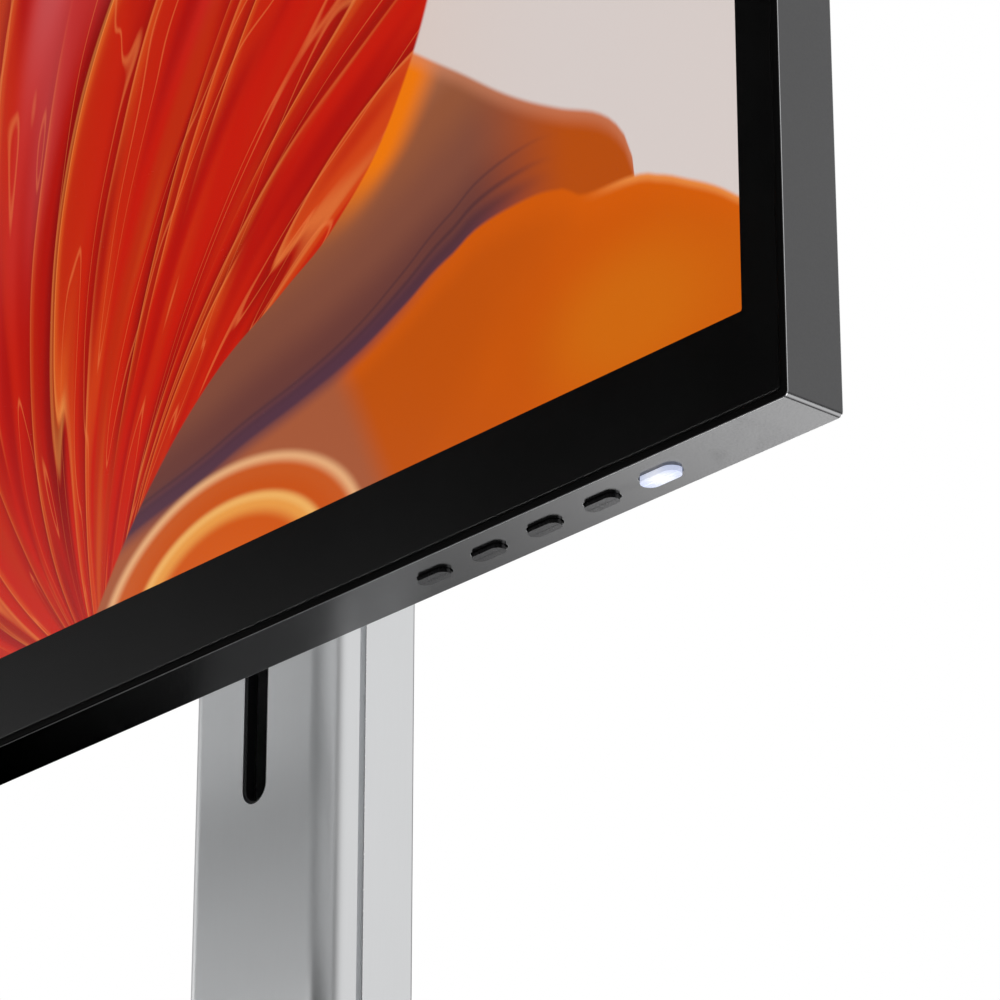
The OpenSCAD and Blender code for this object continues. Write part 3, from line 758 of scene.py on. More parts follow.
@dataclass(frozen=True)
class Metal(Finish):
    """Anodised or drawn metal with a fine grain, soft clouding and finger marks."""

    colour: Colour
    roughness: float
    grain: Colour = (1.0, 1.0, 1.0)
    grain_scale: float = 2600.0
    depth: float = 0.004
    clouding: float = 0.06
    glint: float = 1.35
    spread: float = 0.05

    def fill(self, sheet: NodeSheet) -> None:
        """Writes the metal's grain, clouding and roughness.

        Args:
            sheet: The material's sheet.
        """
        fine = sheet.noise(self.grain_scale, 3.0, sheet.stretch(self.grain))
        cloud = sheet.noise(14.0, 4.0)
        smear = sheet.noise(45.0, 5.0, distortion=1.2)
        tint = sheet.over(sheet.fit(cloud, 0.3, 0.7), shade(self.colour, 1 - self.clouding), self.colour)
        tint = sheet.over(sheet.fit(fine, 0.3, 0.75, 0.0, 0.22), tint, shade(self.colour, self.glint))
        rough = sheet.fit(fine, 0.25, 0.75, self.roughness - self.spread, self.roughness + self.spread)
        rough = sheet.plus(rough, sheet.fit(smear, 0.55, 0.8, 0.0, 0.8 * self.spread))
        grain = sheet.bump(fine, 0.35, self.depth)
        sheet.surface(Base_Color=tint, Metallic=1.0, Roughness=rough, Normal=grain)


@dataclass(frozen=True)
class Plastic(Finish):
    """Moulded plastic with a spark-eroded texture."""

    colour: Colour
    roughness: float = 0.5
    texture: float = 1500.0
    depth: float = 0.012
    specular: float = 0.5
    clouding: float = 0.09
    fleck: float = 1.5

    def fill(self, sheet: NodeSheet) -> None:
        """Writes the plastic's texture and slight colour change.

        Args:
            sheet: The material's sheet.
        """
        grain = sheet.noise(self.texture, 2.0)
        cloud = sheet.noise(22.0, 3.0)
        pale, deep = shade(self.colour, 1 + 0.9 * self.clouding), shade(self.colour, 1 - self.clouding)
        tint = sheet.over(sheet.fit(cloud, 0.3, 0.7), deep, pale)
        tint = sheet.over(sheet.fit(grain, 0.4, 0.8, 0.0, 0.25), tint, shade(self.colour, self.fleck))
        rough = sheet.fit(cloud, 0.3, 0.7, self.roughness - 0.05, self.roughness + 0.06)
        skin = sheet.bump(grain, 0.5, self.depth)
        sheet.surface(Base_Color=tint, Roughness=rough, Normal=skin, Specular_IOR_Level=self.specular)


@dataclass(frozen=True)
class Paint(Finish):
    """Powder coat with orange peel."""

    colour: Colour
    roughness: float = 0.45

    def fill(self, sheet: NodeSheet) -> None:
        """Writes the coat's peel and specks.

        Args:
            sheet: The material's sheet.
        """
        peel = sheet.noise(900.0, 3.0)
        speck = sheet.noise(5200.0, 1.0)
        tint = sheet.over(sheet.fit(speck, 0.55, 0.8, 0.0, 0.5), self.colour, shade(self.colour, 2.2))
        rough = sheet.fit(peel, 0.3, 0.7, self.roughness - 0.06, self.roughness + 0.08)
        sheet.surface(Base_Color=tint, Roughness=rough, Normal=sheet.bump(peel, 0.5, 0.03))


@dataclass(frozen=True)
class ClearGlass(Finish):
    """Cover glass with a faint film of finger marks."""

    def fill(self, sheet: NodeSheet) -> None:
        """Writes the glass and the marks that blur its shine.

        Args:
            sheet: The material's sheet.
        """
        smear = sheet.noise(38.0, 5.0, distortion=1.5)
        fine = sheet.noise(240.0, 3.0)
        film = sheet.times(sheet.fit(smear, 0.5, 0.75), sheet.fit(fine, 0.3, 0.7))
        rough = sheet.times(film, 0.05)
        sheet.surface(Base_Color=(1.0, 1.0, 1.0), Roughness=rough, Transmission_Weight=1.0, IOR=1.35)


@dataclass(frozen=True)
class PrintedBlack(Finish):
    """Black ink printed on the back of the glass."""

    def fill(self, sheet: NodeSheet) -> None:
        """Writes the ink with its screen-print mottle.

        Args:
            sheet: The material's sheet.
        """
        dots = sheet.noise(3000.0, 2.0)
        cloud = sheet.noise(30.0, 2.0)
        tint = sheet.over(sheet.fit(dots, 0.35, 0.75), (0.0010, 0.0010, 0.0011), (0.0020, 0.0020, 0.0023))
        rough = sheet.fit(cloud, 0.3, 0.7, 0.45, 0.6)
        sheet.surface(Base_Color=tint, Roughness=rough, Specular_IOR_Level=0.08)


@dataclass(frozen=True)
class Board(Finish):
    """Circuit board with tracks, pads and solder mask."""

    def fill(self, sheet: NodeSheet) -> None:
        """Writes the board's tracks and pads.

        Args:
            sheet: The material's sheet.
        """
        cells = sheet.new("TexVoronoi", feature="DISTANCE_TO_EDGE", distance="CHEBYCHEV")
        cells.inputs["Scale"].default_value = 260.0
        sheet.put(cells.inputs["Vector"], sheet.place)
        pads = sheet.noise(420.0, 1.0)
        tint = sheet.over(sheet.fit(cells.outputs[0], 0.04, 0.08), ink(52, 128, 78), ink(14, 66, 40))
        tint = sheet.over(sheet.fit(pads, 0.66, 0.69), tint, ink(206, 200, 186))
        rough = sheet.fit(pads, 0.6, 0.7, 0.5, 0.3)
        sheet.surface(Base_Color=tint, Roughness=rough, Normal=sheet.bump(cells.outputs[0], 0.4, 0.05))


@dataclass(frozen=True)
class Glow(Finish):
    """Milky key cap lit from behind, brighter towards its middle."""

    centre: Colour
    strength: float

    def fill(self, sheet: NodeSheet) -> None:
        """Writes the cap's light and its slightly uneven face.

        Args:
            sheet: The material's sheet.
        """
        away = sheet.new("VectorMath", operation="DISTANCE")
        sheet.put(away.inputs[0], sheet.place)
        away.inputs[1].default_value = self.centre
        mottle = sheet.noise(700.0, 2.0)
        hot = sheet.fit(away.outputs["Value"], 0.0045, 0.0005)
        light = sheet.over(hot, ink(206, 214, 240), ink(246, 248, 255))
        light = sheet.over(sheet.fit(mottle, 0.4, 0.8, 0.0, 0.3), light, ink(196, 204, 232))
        sheet.surface(
            Base_Color=light, Roughness=0.3, Emission_Color=light, Emission_Strength=self.strength
        )


@dataclass(frozen=True)
class LitPicture(Finish):
    """The kiosk's idle picture: folded red silk over soft round orange forms. It is built from plain curves.

    Places are in millimetres: across is leftwards from the lit area's right edge, up is from its lower edge.
    """

    right: float
    bottom: float
    strength: float = 1.0

    def grid(self, sheet: NodeSheet) -> tuple[Socket, Socket]:
        """The picture's own coordinates, in millimetres, gently warped.

        Args:
            sheet: The material's sheet.

        Returns:
            How far across and how far up a point is.
        """
        parts = sheet.split(sheet.place)
        warp_a = sheet.minus(sheet.noise(9.0, 2.0), 0.5)
        warp_b = sheet.minus(sheet.noise(7.0, 2.0, sheet.stretch((1.0, 1.0, 1.6))), 0.5)
        across = sheet.minus(self.right, sheet.times(parts[0], 1 / MM))
        up = sheet.minus(sheet.times(parts[2], 1 / MM), self.bottom)
        across = sheet.times_plus(warp_a, 4.0, across)
        up = sheet.times_plus(warp_b, 3.0, up)
        return across, up

    @staticmethod
    def oval(
        sheet: NodeSheet, at: tuple[Socket, Socket], centre: tuple[float, float], radii: tuple[float, float]
    ) -> Socket:
        """Distance from an oval's centre, 1 on its outline.

        Args:
            sheet: The material's sheet.
            at: The picture's coordinates.
            centre: The oval's centre.
            radii: Its radii across and up.

        Returns:
            The scaled distance.
        """
        away = [sheet.calc("DIVIDE", sheet.minus(value, c), r) for value, c, r in zip(at, centre, radii)]
        return sheet.length(*away)

    def silk(self, sheet: NodeSheet, at: tuple[Socket, Socket]) -> tuple[Socket, Socket]:
        """The red folds, fanned out from a low corner.

        Args:
            sheet: The material's sheet.
            at: The picture's coordinates.

        Returns:
            The folds' colour, and how far inside their edge a point is, in millimetres.
        """
        across, up = at
        run = sheet.minus(190.0, across)
        rise = sheet.plus(up, 16.0)
        reach = sheet.length(run, rise)
        turn = sheet.calc("ARCTAN2", rise, run)
        bend = sheet.times_plus(reach, 0.0026, turn)
        join = sheet.new("CombineXYZ")
        sheet.put(join.inputs[0], sheet.times(bend, 5.0))
        sheet.put(join.inputs[1], sheet.times(reach, 0.005))
        folds = sheet.noise(0.95, 1.0, join.outputs[0], 0.2)
        threads = sheet.noise(2.4, 0.5, join.outputs[0], 0.2)
        colour = sheet.ramp(
            folds,
            [
                (0.28, ink(132, 8, 8)),
                (0.42, ink(178, 14, 8)),
                (0.54, ink(204, 26, 8)),
                (0.66, ink(196, 44, 12)),
                (0.76, ink(214, 84, 26)),
            ],
        )
        # Each fold darkens towards one side and turns orange at its crisp lit edge
        for count, sway, power in ((3.1, 1.5, 0.85), (7.3, 2.6, 0.5)):
            phase = sheet.calc("FRACT", sheet.times_plus(folds, sway, sheet.times(bend, count)))
            pleat = sheet.ramp(
                phase,
                [
                    (0.0, ink(116, 8, 8)),
                    (0.16, ink(168, 12, 8)),
                    (0.50, ink(206, 28, 8)),
                    (0.80, ink(204, 44, 12)),
                    (0.93, ink(226, 92, 30)),
                    (0.975, ink(244, 150, 74)),
                    (1.0, ink(150, 14, 8)),
                ],
            )
            mark = sheet.times(sheet.fit(threads, 0.36, 0.56), power)
            colour = sheet.over(mark, colour, pleat)
        away = sheet.calc("ABSOLUTE", sheet.minus(threads, 0.56))
        colour = sheet.over(sheet.fit(away, 0.010, 0.0, 0.0, 0.5), colour, ink(238, 124, 66))
        high = sheet.fit(sheet.plus(up, across), 284.0, 340.0, 0.0, 0.7)
        high = sheet.times(high, sheet.fit(across, 300.0, 230.0))
        colour = sheet.over(sheet.times(high, sheet.fit(folds, 0.42, 0.6)), colour, ink(206, 92, 96))
        edge = sheet.curve(
            up,
            [(-20, 205), (6, 190), (24, 176), (41, 157), (53, 133), (62, 116), (81, 98), (113, 84)]
            + [(170, 74), (300, 60)],
        )
        return colour, sheet.minus(across, edge)

    def fill(self, sheet: NodeSheet) -> None:
        """Writes the picture's layers from back to front.

        Args:
            sheet: The material's sheet.
        """
        at = self.grid(sheet)
        across, up = at
        drift = sheet.noise(16.0, 3.0)
        red, inside = self.silk(sheet, at)
        crest = sheet.curve(
            across,
            [(-20, 8), (0, 23.5), (6, 28), (13, 32), (21, 36), (29, 38.5), (41, 39.5), (49, 43.5), (62, 45)]
            + [(81, 41), (96, 35), (112, 29.5), (128, 26), (144, 23), (160, 19), (176, 16), (230, 6)]
            + [(540, 0)],
        )
        roof = sheet.curve(
            across,
            [(-20, 0), (24, 20), (28, 42), (31, 49), (37, 55), (49, 61), (61, 68), (80, 82), (120, 112)]
            + [(200, 160), (540, 240)],
        )
        fall = sheet.minus(up, crest)
        colour = sheet.over(sheet.fit(across, 40.0, 300.0), ink(222, 211, 207), ink(238, 170, 120))
        # Brown and mauve form behind the silk, orange at its round end
        veil = sheet.ramp(
            sheet.times_plus(drift, 0.10, sheet.times(fall, 1 / 62)),
            [
                (0.06, ink(92, 54, 66)),
                (0.16, ink(110, 62, 56)),
                (0.36, ink(134, 78, 60)),
                (0.60, ink(152, 88, 58)),
                (0.90, ink(188, 122, 88)),
            ],
        )
        veil = sheet.over(sheet.fit(across, 78.0, 44.0), veil, ink(188, 80, 14))
        strip = sheet.times(sheet.fit(inside, -15.0, -3.0), sheet.fit(up, 56.0, 72.0))
        veil = sheet.over(strip, veil, ink(246, 124, 8))
        rim = sheet.minus(roof, up)
        veil = sheet.over(sheet.fit(rim, 5.0, 0.0, 0.0, 0.55), veil, ink(214, 138, 104))
        for offset, width, power in ((7.0, 1.1, 0.5), (12.0, 0.8, 0.4), (3.0, 2.4, 0.4)):
            line = sheet.times_plus(sheet.fit(across, 46.0, 130.0), -0.6 * offset, offset)
            away = sheet.calc("ABSOLUTE", sheet.minus(fall, line))
            mark = sheet.times(sheet.fit(away, width, 0.0, 0.0, power), sheet.fit(across, 48.0, 70.0))
            veil = sheet.over(mark, veil, ink(66, 42, 52))
        colour = sheet.over(sheet.fit(rim, -0.8, 0.8), colour, veil)
        # Large orange form, with a pink-brown shade on its far side
        orange = sheet.ramp(
            sheet.times_plus(drift, 0.45, sheet.times(across, 0.0040)),
            [
                (0.15, ink(210, 98, 10)),
                (0.40, ink(212, 92, 6)),
                (0.62, ink(198, 84, 8)),
                (0.85, ink(186, 82, 16)),
            ],
        )
        glow = self.oval(sheet, at, (30.0, 10.0), (34.0, 22.0))
        orange = sheet.over(sheet.fit(glow, 1.0, 0.2, 0.0, 0.6), orange, ink(214, 116, 16))
        orange = sheet.over(sheet.fit(fall, -9.0, -0.5, 0.0, 0.6), orange, ink(222, 96, 6))
        pale_rim = sheet.times(sheet.fit(fall, -2.5, -0.4, 0.0, 0.8), sheet.fit(across, 44.0, 26.0))
        orange = sheet.over(pale_rim, orange, ink(242, 150, 74))
        bound = sheet.times_plus(up, 0.46, 101.0)
        pink = sheet.fit(sheet.minus(across, bound), -5.0, 5.0)
        orange = sheet.over(pink, orange, ink(172, 92, 58))
        colour = sheet.over(sheet.fit(fall, 0.7, -0.7), colour, orange)
        band = sheet.fit(sheet.calc("ABSOLUTE", sheet.plus(fall, -1.0)), 5.0, 0.0, 0.0, 0.8)
        colour = sheet.over(sheet.times(band, sheet.fit(across, 76.0, 116.0)), colour, ink(88, 54, 70))
        # Rings in the low corner
        ring = self.oval(sheet, at, (149.0, -11.0), (44.0, 30.5))
        bands = sheet.ramp(
            ring,
            [
                (0.0, ink(226, 98, 8)),
                (0.55, ink(214, 88, 6)),
                (0.66, ink(240, 160, 72)),
                (0.71, ink(246, 182, 100)),
                (0.77, ink(206, 84, 14)),
                (0.90, ink(206, 90, 28)),
                (0.98, ink(240, 182, 130)),
            ],
        )
        colour = sheet.over(sheet.fit(ring, 1.03, 0.96), colour, bands)
        # A last round form towards the far side, in front of which the silk falls
        far = self.oval(sheet, at, (450.0, 30.0), (140.0, 130.0))
        round_form = sheet.over(sheet.fit(far, 0.2, 1.0), ink(226, 120, 40), ink(206, 76, 20))
        colour = sheet.over(sheet.fit(far, 1.01, 0.985), colour, round_form)
        shown = sheet.times(sheet.fit(inside, -0.5, 0.7), sheet.fit(far, 0.97, 1.0))
        colour = sheet.over(shown, colour, red)
        sheet.surface(
            Base_Color=(0.002, 0.002, 0.002),
            Roughness=0.6,
            Specular_IOR_Level=0.0,
            Emission_Color=colour,
            Emission_Strength=self.strength,
        )


class Trim:
    """All the kiosk's finishes, by what they are on."""

    graphite = Metal("graphite_anodised", (0.122, 0.122, 0.124), 0.20, depth=0.0025)
    graphite_edge = Metal("graphite_worn_edge", (0.68, 0.68, 0.69), 0.20, depth=0.001)
    silver = Metal(
        "silver_satin", (0.86, 0.87, 0.88), 0.30, (1.0, 1.0, 0.05), 1800.0, 0.0001, 0.03, 1.03, 0.014
    )
    silver_edge = Metal("silver_bright_edge", (0.9, 0.9, 0.91), 0.24, depth=0.001)
    silver_flat = Metal("silver_blasted", (0.76, 0.77, 0.78), 0.42, grain_scale=2200.0)
    steel = Metal("ground_steel", (0.62, 0.61, 0.60), 0.22, (1.0, 1.0, 0.02), 3000.0, 0.002)
    screw = Metal("black_zinc_screw", (0.16, 0.16, 0.17), 0.35)
    cast = Metal("grey_casting", (0.30, 0.31, 0.32), 0.48, grain_scale=1200.0, depth=0.02)
    socket = Metal("nickel_socket", (0.66, 0.64, 0.60), 0.28)
    brass = Metal("turned_brass", (0.72, 0.52, 0.22), 0.3)
    pan = Metal("zinc_sheet", (0.56, 0.58, 0.60), 0.38, grain_scale=160.0, clouding=0.2)
    foil = Metal("copper_flex", (0.58, 0.30, 0.10), 0.4)
    washer = Metal("bronze_washer", (0.50, 0.34, 0.18), 0.4)
    plate = Paint("black_powder_coat", (0.018, 0.018, 0.020))
    base_steel = Paint("grey_powder_coat", (0.10, 0.10, 0.105))
    cover = Plastic("pale_back_cover", (0.58, 0.585, 0.59), 0.48, 1500.0, 0.010, 0.5, 0.012, 1.12)
    cover_edge = Plastic("pale_cover_edge", (0.66, 0.665, 0.67), 0.40, 1500.0, 0.006, 0.5, 0.012, 1.08)
    key = Metal("graphite_key", (0.100, 0.100, 0.102), 0.30)
    key_edge = Metal("graphite_key_edge", (0.46, 0.46, 0.47), 0.18, depth=0.0005)
    black = Plastic("black_plastic", (0.010, 0.010, 0.011), 0.42)
    liner = Plastic("black_liner", (0.006, 0.006, 0.007), 0.5, 900.0, 0.012, 0.3)
    gasket = Plastic("black_gasket", (0.002, 0.002, 0.002), 0.7, 1400.0, 0.02, 0.05)
    rubber = Plastic("black_rubber", (0.012, 0.012, 0.012), 0.75, 800.0, 0.04, 0.3)
    bush = Plastic("ivory_bush", (0.55, 0.52, 0.42), 0.4)
    acrylic = Plastic("white_guide", (0.75, 0.76, 0.78), 0.25)
    led = Plastic("yellow_led", (0.70, 0.52, 0.10), 0.4)
    glass = ClearGlass("cover_glass")
    ink = PrintedBlack("printed_border")
    board = Board("circuit_board")


# ---------- Display ----------


@dataclass
class Display:
    """The screen head: graphite frame, glass, picture and back cover."""

    body: str = "display"
    corner: float = 1.1
    wall: float = 1.6
    rim: float = 0.6
    rim_depth: float = 3.0
    edge: float = 0.22
    glass_edge: float = 0.35
    seat_inset: float = 1.35
    seat_back: float = -83.1
    key_edge: float = 0.12
    key_hole: tuple[float, float] = (8.9, 3.9)
    power_hole: tuple[float, float] = (10.2, 4.6)
    lit_size: tuple[float, float] = (527.0, 296.5)
    lit_rise: float = 4.7
    hump: tuple[float, float] = (330.0, 210.0)
    hump_corner: float = 12.0
    cover_wall: float = 2.0
    cover_edge: float = 0.18
    hump_edge: float = 2.2
    vent: tuple[float, float] = (8.0, 2.4)
    vent_pitch: tuple[float, float] = (12.0, 5.5)
    vent_count: tuple[int, int] = (15, 3)
    grille: tuple[float, float] = (2.0, 10.0)
    grille_pitch: float = 5.5
    grille_count: int = 9
    speaker_z: float = -118.0
    screw_hole: float = 2.8
    screw_head: float = 5.2
    mount_pitch: float = 100.0
    mount_hole: float = 4.5

    def __post_init__(self) -> None:
        """Takes the head's outer box from the CAD frame."""
        self.low, self.high = span("housing_frame")
        self.middle = (self.low.z + self.high.z) / 2

    def inner(self, name: str, inset: float, front: float, back: float, radius: float) -> Piece:
        """A rounded block inside the head's outline.

        Args:
            name: The block's name.
            inset: How far it stays inside the outline.
            front: Where it starts, along Y.
            back: Where it ends.
            radius: Its corners' radius, or 0.

        Returns:
            The block.
        """
        low = (self.low.x + inset, front, self.low.z + inset)
        high = (self.high.x - inset, back, self.high.z - inset)
        piece = Bench.block(name, low, high)
        if radius > 0:
            Bench.round_prism(piece, Axis.Y, radius, 6)
        return piece

    def pill(self, name: str, node: str, size: tuple[float, float], low: float, high: float) -> Piece:
        """A pill-shaped block centred on a key, standing along Z.

        Args:
            name: The block's name.
            node: The key's CAD node.
            size: Its length and width.
            low: Its lower end.
            high: Its upper end.

        Returns:
            The block.
        """
        a, b = span(node)
        x, y = (a.x + b.x) / 2, (a.y + b.y) / 2
        half = (size[0] / 2, size[1] / 2)
        piece = Bench.block(name, (x - half[0], y - half[1], low), (x + half[0], y + half[1], high))
        Bench.round_prism(piece, Axis.Z, size[1] / 2 * ALMOST_ROUND, 10)
        return piece

    def build_frame(self) -> None:
        """Models the graphite frame with its rim, pill holes and rounded outer edges."""
        piece = self.inner("housing_shell", 0.0, self.low.y, self.high.y, self.corner)
        Bench.paint(piece, Trim.graphite, Trim.graphite_edge)
        Bench.round_ends(piece, Axis.Y, self.low.y, self.edge)
        Bench.round_ends(piece, Axis.Y, self.high.y, self.edge)
        front = self.low.y - PAST
        Bench.cut(piece, self.inner("frame_hollow", self.wall, front, self.high.y + PAST, 0.4))
        Bench.cut(piece, self.inner("rim_hollow", self.rim, front, self.low.y + self.rim_depth, 0.6))
        keys = [(f"menu_button_{i}", self.key_hole) for i in range(1, 5)]
        for node, hole in (*keys, ("power_button", self.power_hole)):
            Bench.cut(piece, self.pill("key_cut", node, hole, self.low.z - 1, self.low.z + 3))
        inside = self.high.y - 3

        def hole_edge(edge: bmesh.types.BMEdge) -> bool:
            """Whether the edge is a pill hole's mouth on the underside."""
            places = [v.co / MM for v in edge.verts]
            level = all(abs(p.z - self.low.z) < NEAR for p in places)
            within = all(self.low.y + 3 < p.y < inside and p.x < self.high.x - 5 for p in places)
            return level and within and edge.calc_face_angle(0.0) > 0.8

        Bench.bevel(piece, hole_edge, self.key_edge, 2, True)
        Bench.tidy(piece)
        install(piece, self.body, "housing_grey", (Trim.graphite, Trim.graphite_edge), "housing_frame")

    def build_glass(self) -> None:
        """Models the cover glass with a ground edge, and the gasket that holds it."""
        low, high = span("cover_glass")
        piece = Bench.block("glass_pane", low, high)
        Bench.round_prism(piece, Axis.Y, 0.9, 5)
        Bench.round_ends(piece, Axis.Y, low.y, self.glass_edge, 3, False)
        Bench.tidy(piece)
        install(piece, self.body, "front_glass", (Trim.glass,), "cover_glass")
        low, high = span("glass_gasket")
        seal = self.inner("gasket_ring", self.rim + 0.05, self.low.y, high.y, 0.6)
        lip = self.inner("gasket_lip", 0.1, low.y, self.low.y + 0.02, 1.0)
        Bench.fuse(seal, lip)
        Bench.cut(seal, self.inner("glass_seat", self.seat_inset, low.y - 2, self.seat_back, 0.9))
        Bench.cut(seal, self.inner("gasket_opening", 7.0, low.y - 3, high.y + 2, 0.0))
        Bench.round_ends(seal, Axis.Y, low.y, 0.12, 2, False)
        Bench.tidy(seal)
        install(seal, self.body, "gasket_black", (Trim.gasket,), "glass_gasket")

    def build_picture(self) -> None:
        """Dresses the lit panel."""
        right = self.lit_size[0] / 2
        bottom = self.middle + self.lit_rise - self.lit_size[1] / 2
        low, high = span("lcd_panel")
        panel = Bench.block("lit_panel", low, high)
        Bench.round_ends(panel, Axis.Y, low.y, 0.15, 2, False)
        Bench.tidy(panel)
        install(panel, self.body, "picture", (LitPicture("idle_picture", right, bottom),), "lcd_panel")

    def build_cover(self) -> None:
        """Models the back cover with its hump, vents, grilles, socket openings and screw seats."""
        low, high = span("rear_cover")
        plate = self.inner("back_shell", self.wall + 0.1, low.y, low.y + self.cover_wall, 0.5)
        half = (self.hump[0] / 2, self.hump[1] / 2)
        hump = Bench.block(
            "hump", (-half[0], low.y, self.middle - half[1]), (half[0], high.y, self.middle + half[1])
        )
        Bench.round_prism(hump, Axis.Y, self.hump_corner, 10)
        Bench.round_ends(hump, Axis.Y, high.y, self.hump_edge, 4, False)
        Bench.fuse(plate, hump)
        wall = self.cover_wall
        hollow = Bench.block(
            "hump_hollow",
            (-half[0] + wall, low.y - 2, self.middle - half[1] + wall),
            (half[0] - wall, high.y - wall, self.middle + half[1] - wall),
        )
        Bench.round_prism(hollow, Axis.Y, self.hump_corner - wall, 8)
        Bench.cut(plate, hollow)
        Bench.paint(plate, Trim.cover, Trim.cover_edge)
        cutters = self.vent_cutters(low.y) + self.grille_cutters(low.y) + self.socket_cutters()
        cutters += self.screw_cutters(low.y, high.y)
        Bench.cut(plate, Bench.join(cutters))
        Bench.soften(plate, self.cover_edge, 2, 50.0)
        Bench.tidy(plate)
        install(plate, self.body, "cover_grey", (Trim.cover, Trim.cover_edge), "rear_cover")

    def vent_cutters(self, front: float) -> list[Piece]:
        """Cutters for the rows of vent slots in the hump's roof.

        Args:
            front: Where the cover starts, along Y.

        Returns:
            The cutters.
        """
        count, rows = self.vent_count
        left = -(count - 1) / 2 * self.vent_pitch[0] - self.vent[0] / 2
        y = front + self.cover_wall + 4
        roof = self.middle + self.hump[1] / 2
        slot = Bench.block("vent_cut", (left, y, roof - 3), (left + self.vent[0], y + self.vent[1], roof + 1))
        Bench.round_prism(slot, Axis.Z, self.vent[1] / 2 * 0.98, 4)
        Bench.row(slot, (self.vent_pitch[0], 0, 0), count)
        Bench.row(slot, (0, self.vent_pitch[1], 0), rows)
        return [slot]

    def grille_cutters(self, front: float) -> list[Piece]:
        """Cutters for the slots behind each speaker.

        Args:
            front: Where the cover starts, along Y.

        Returns:
            The cutters.
        """
        made = []
        boxes = islands("speakers")
        for low, high in boxes:
            x = (low.x + high.x) / 2 - (self.grille_count - 1) / 2 * self.grille_pitch - self.grille[0] / 2
            z = self.middle + self.speaker_z - self.grille[1] / 2
            slot = Bench.block(
                "grille_cut", (x, front - 1, z), (x + self.grille[0], front + 3, z + self.grille[1])
            )
            Bench.round_prism(slot, Axis.Y, self.grille[0] / 2 * 0.98, 4)
            Bench.row(slot, (self.grille_pitch, 0, 0), self.grille_count)
            made.append(slot)
        return made

    def socket_cutters(self) -> list[Piece]:
        """Cutters for the openings round the sockets in the hump's floor.

        Returns:
            The cutters.
        """
        floor = self.middle - self.hump[1] / 2
        made = []
        for node in ("power_inlet", "usb_sockets", "video_socket", "network_socket"):
            for low, high in islands(node):
                made.append(
                    Bench.block(
                        "socket_cut",
                        (low.x - 0.3, low.y - 0.3, floor - 1),
                        (high.x + 0.3, high.y + 0.3, floor + self.cover_wall + 1),
                    )
                )
        return made

    def screw_cutters(self, front: float, back: float) -> list[Piece]:
        """Cutters for the cover screws' seats and the mount's holes.

        Args:
            front: Where the cover starts, along Y.
            back: Where it ends.

        Returns:
            The cutters.
        """
        made = []
        for low, high in islands("case_screws"):
            x, z = (low.x + high.x) / 2, (low.z + high.z) / 2
            made.append(Bench.rod("screw_cut", Axis.Y, (x, front - 1, z), 4, self.screw_hole, 24))
            made.append(Bench.rod("seat_cut", Axis.Y, (x, front + 0.9, z), 3, self.screw_head, 24))
        for x in (-1, 1):
            for z in (-1, 1):
                at = (x * self.mount_pitch / 2, back - 3, self.middle + z * self.mount_pitch / 2)
                made.append(Bench.rod("mount_cut", Axis.Y, at, 4, self.mount_hole, 24))
        return made

    def build(self) -> None:
        """Builds the whole head."""
        self.build_frame()
        self.build_glass()
        self.build_picture()
        self.build_cover()


@dataclass
class ButtonRow:
    """Four menu keys and the lit power key, under the frame."""

    cap: tuple[float, float] = (8.3, 3.3)
    power_cap: tuple[float, float] = (9.6, 4.0)
    flange: float = 0.7
    flange_low: float = 171.9
    flange_t: float = 0.8
    stem: float = 2.4
    chamfer: float = 0.42

    def cap_piece(self, name: str, node: str, cap: tuple[float, float]) -> Piece:
        """Models one key: a flange, a cap drawn down from it with a soft rim, and a stem.

        Args:
            name: The key's name.
            node: Its CAD node.
            cap: The cap's length and width.

        Returns:
            The key.
        """
        low, high = span(node)
        x, y = (low.x + high.x) / 2, (low.y + high.y) / 2
        wide = (cap[0] / 2 + self.flange, cap[1] / 2 + self.flange)
        top = self.flange_low + self.flange_t
        low_corner = (x - wide[0], y - wide[1], self.flange_low)
        piece = Bench.block(name, low_corner, (x + wide[0], y + wide[1], top))
        Bench.round_prism(piece, Axis.Z, wide[1] * ALMOST_ROUND, 10)
        Bench.choose(piece, "faces", lambda face: face.normal.z < -0.9)
        bpy.ops.mesh.inset(thickness=self.flange * MM)
        drop = (self.flange_low - low.z) * MM
        bpy.ops.mesh.extrude_region_move(TRANSFORM_OT_translate={"value": (0, 0, -drop)})
        Bench.leave()
        Bench.paint(piece, Trim.key, Trim.key_edge)
        Bench.round_ends(piece, Axis.Z, low.z, self.chamfer, 3)
        stem = Bench.rod("stem", Axis.Z, (x, y, top - 0.2), high.z - top + 0.2, self.stem, 24)
        Bench.fuse(piece, stem)
        Bench.tidy(piece, 35.0)
        return piece

    def build(self) -> None:
        """Builds the keys, each on its own sliding body."""
        for i in range(1, 5):
            key = self.cap_piece(f"menu_key_cap_{i}", f"menu_button_{i}", self.cap)
            install(key, f"menu_key_{i}", "key_grey", (Trim.key, Trim.key_edge), f"menu_button_{i}")
        power = self.cap_piece("power_key_cap", "power_button", self.power_cap)
        low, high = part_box("power_button")
        glow = Glow("lit_power_key", ((low.x + high.x) / 2, (low.y + high.y) / 2, low.z), 0.62)
        install(power, "power_key", "key_lit", (glow, glow), "power_button")


# ---------- Stand ----------


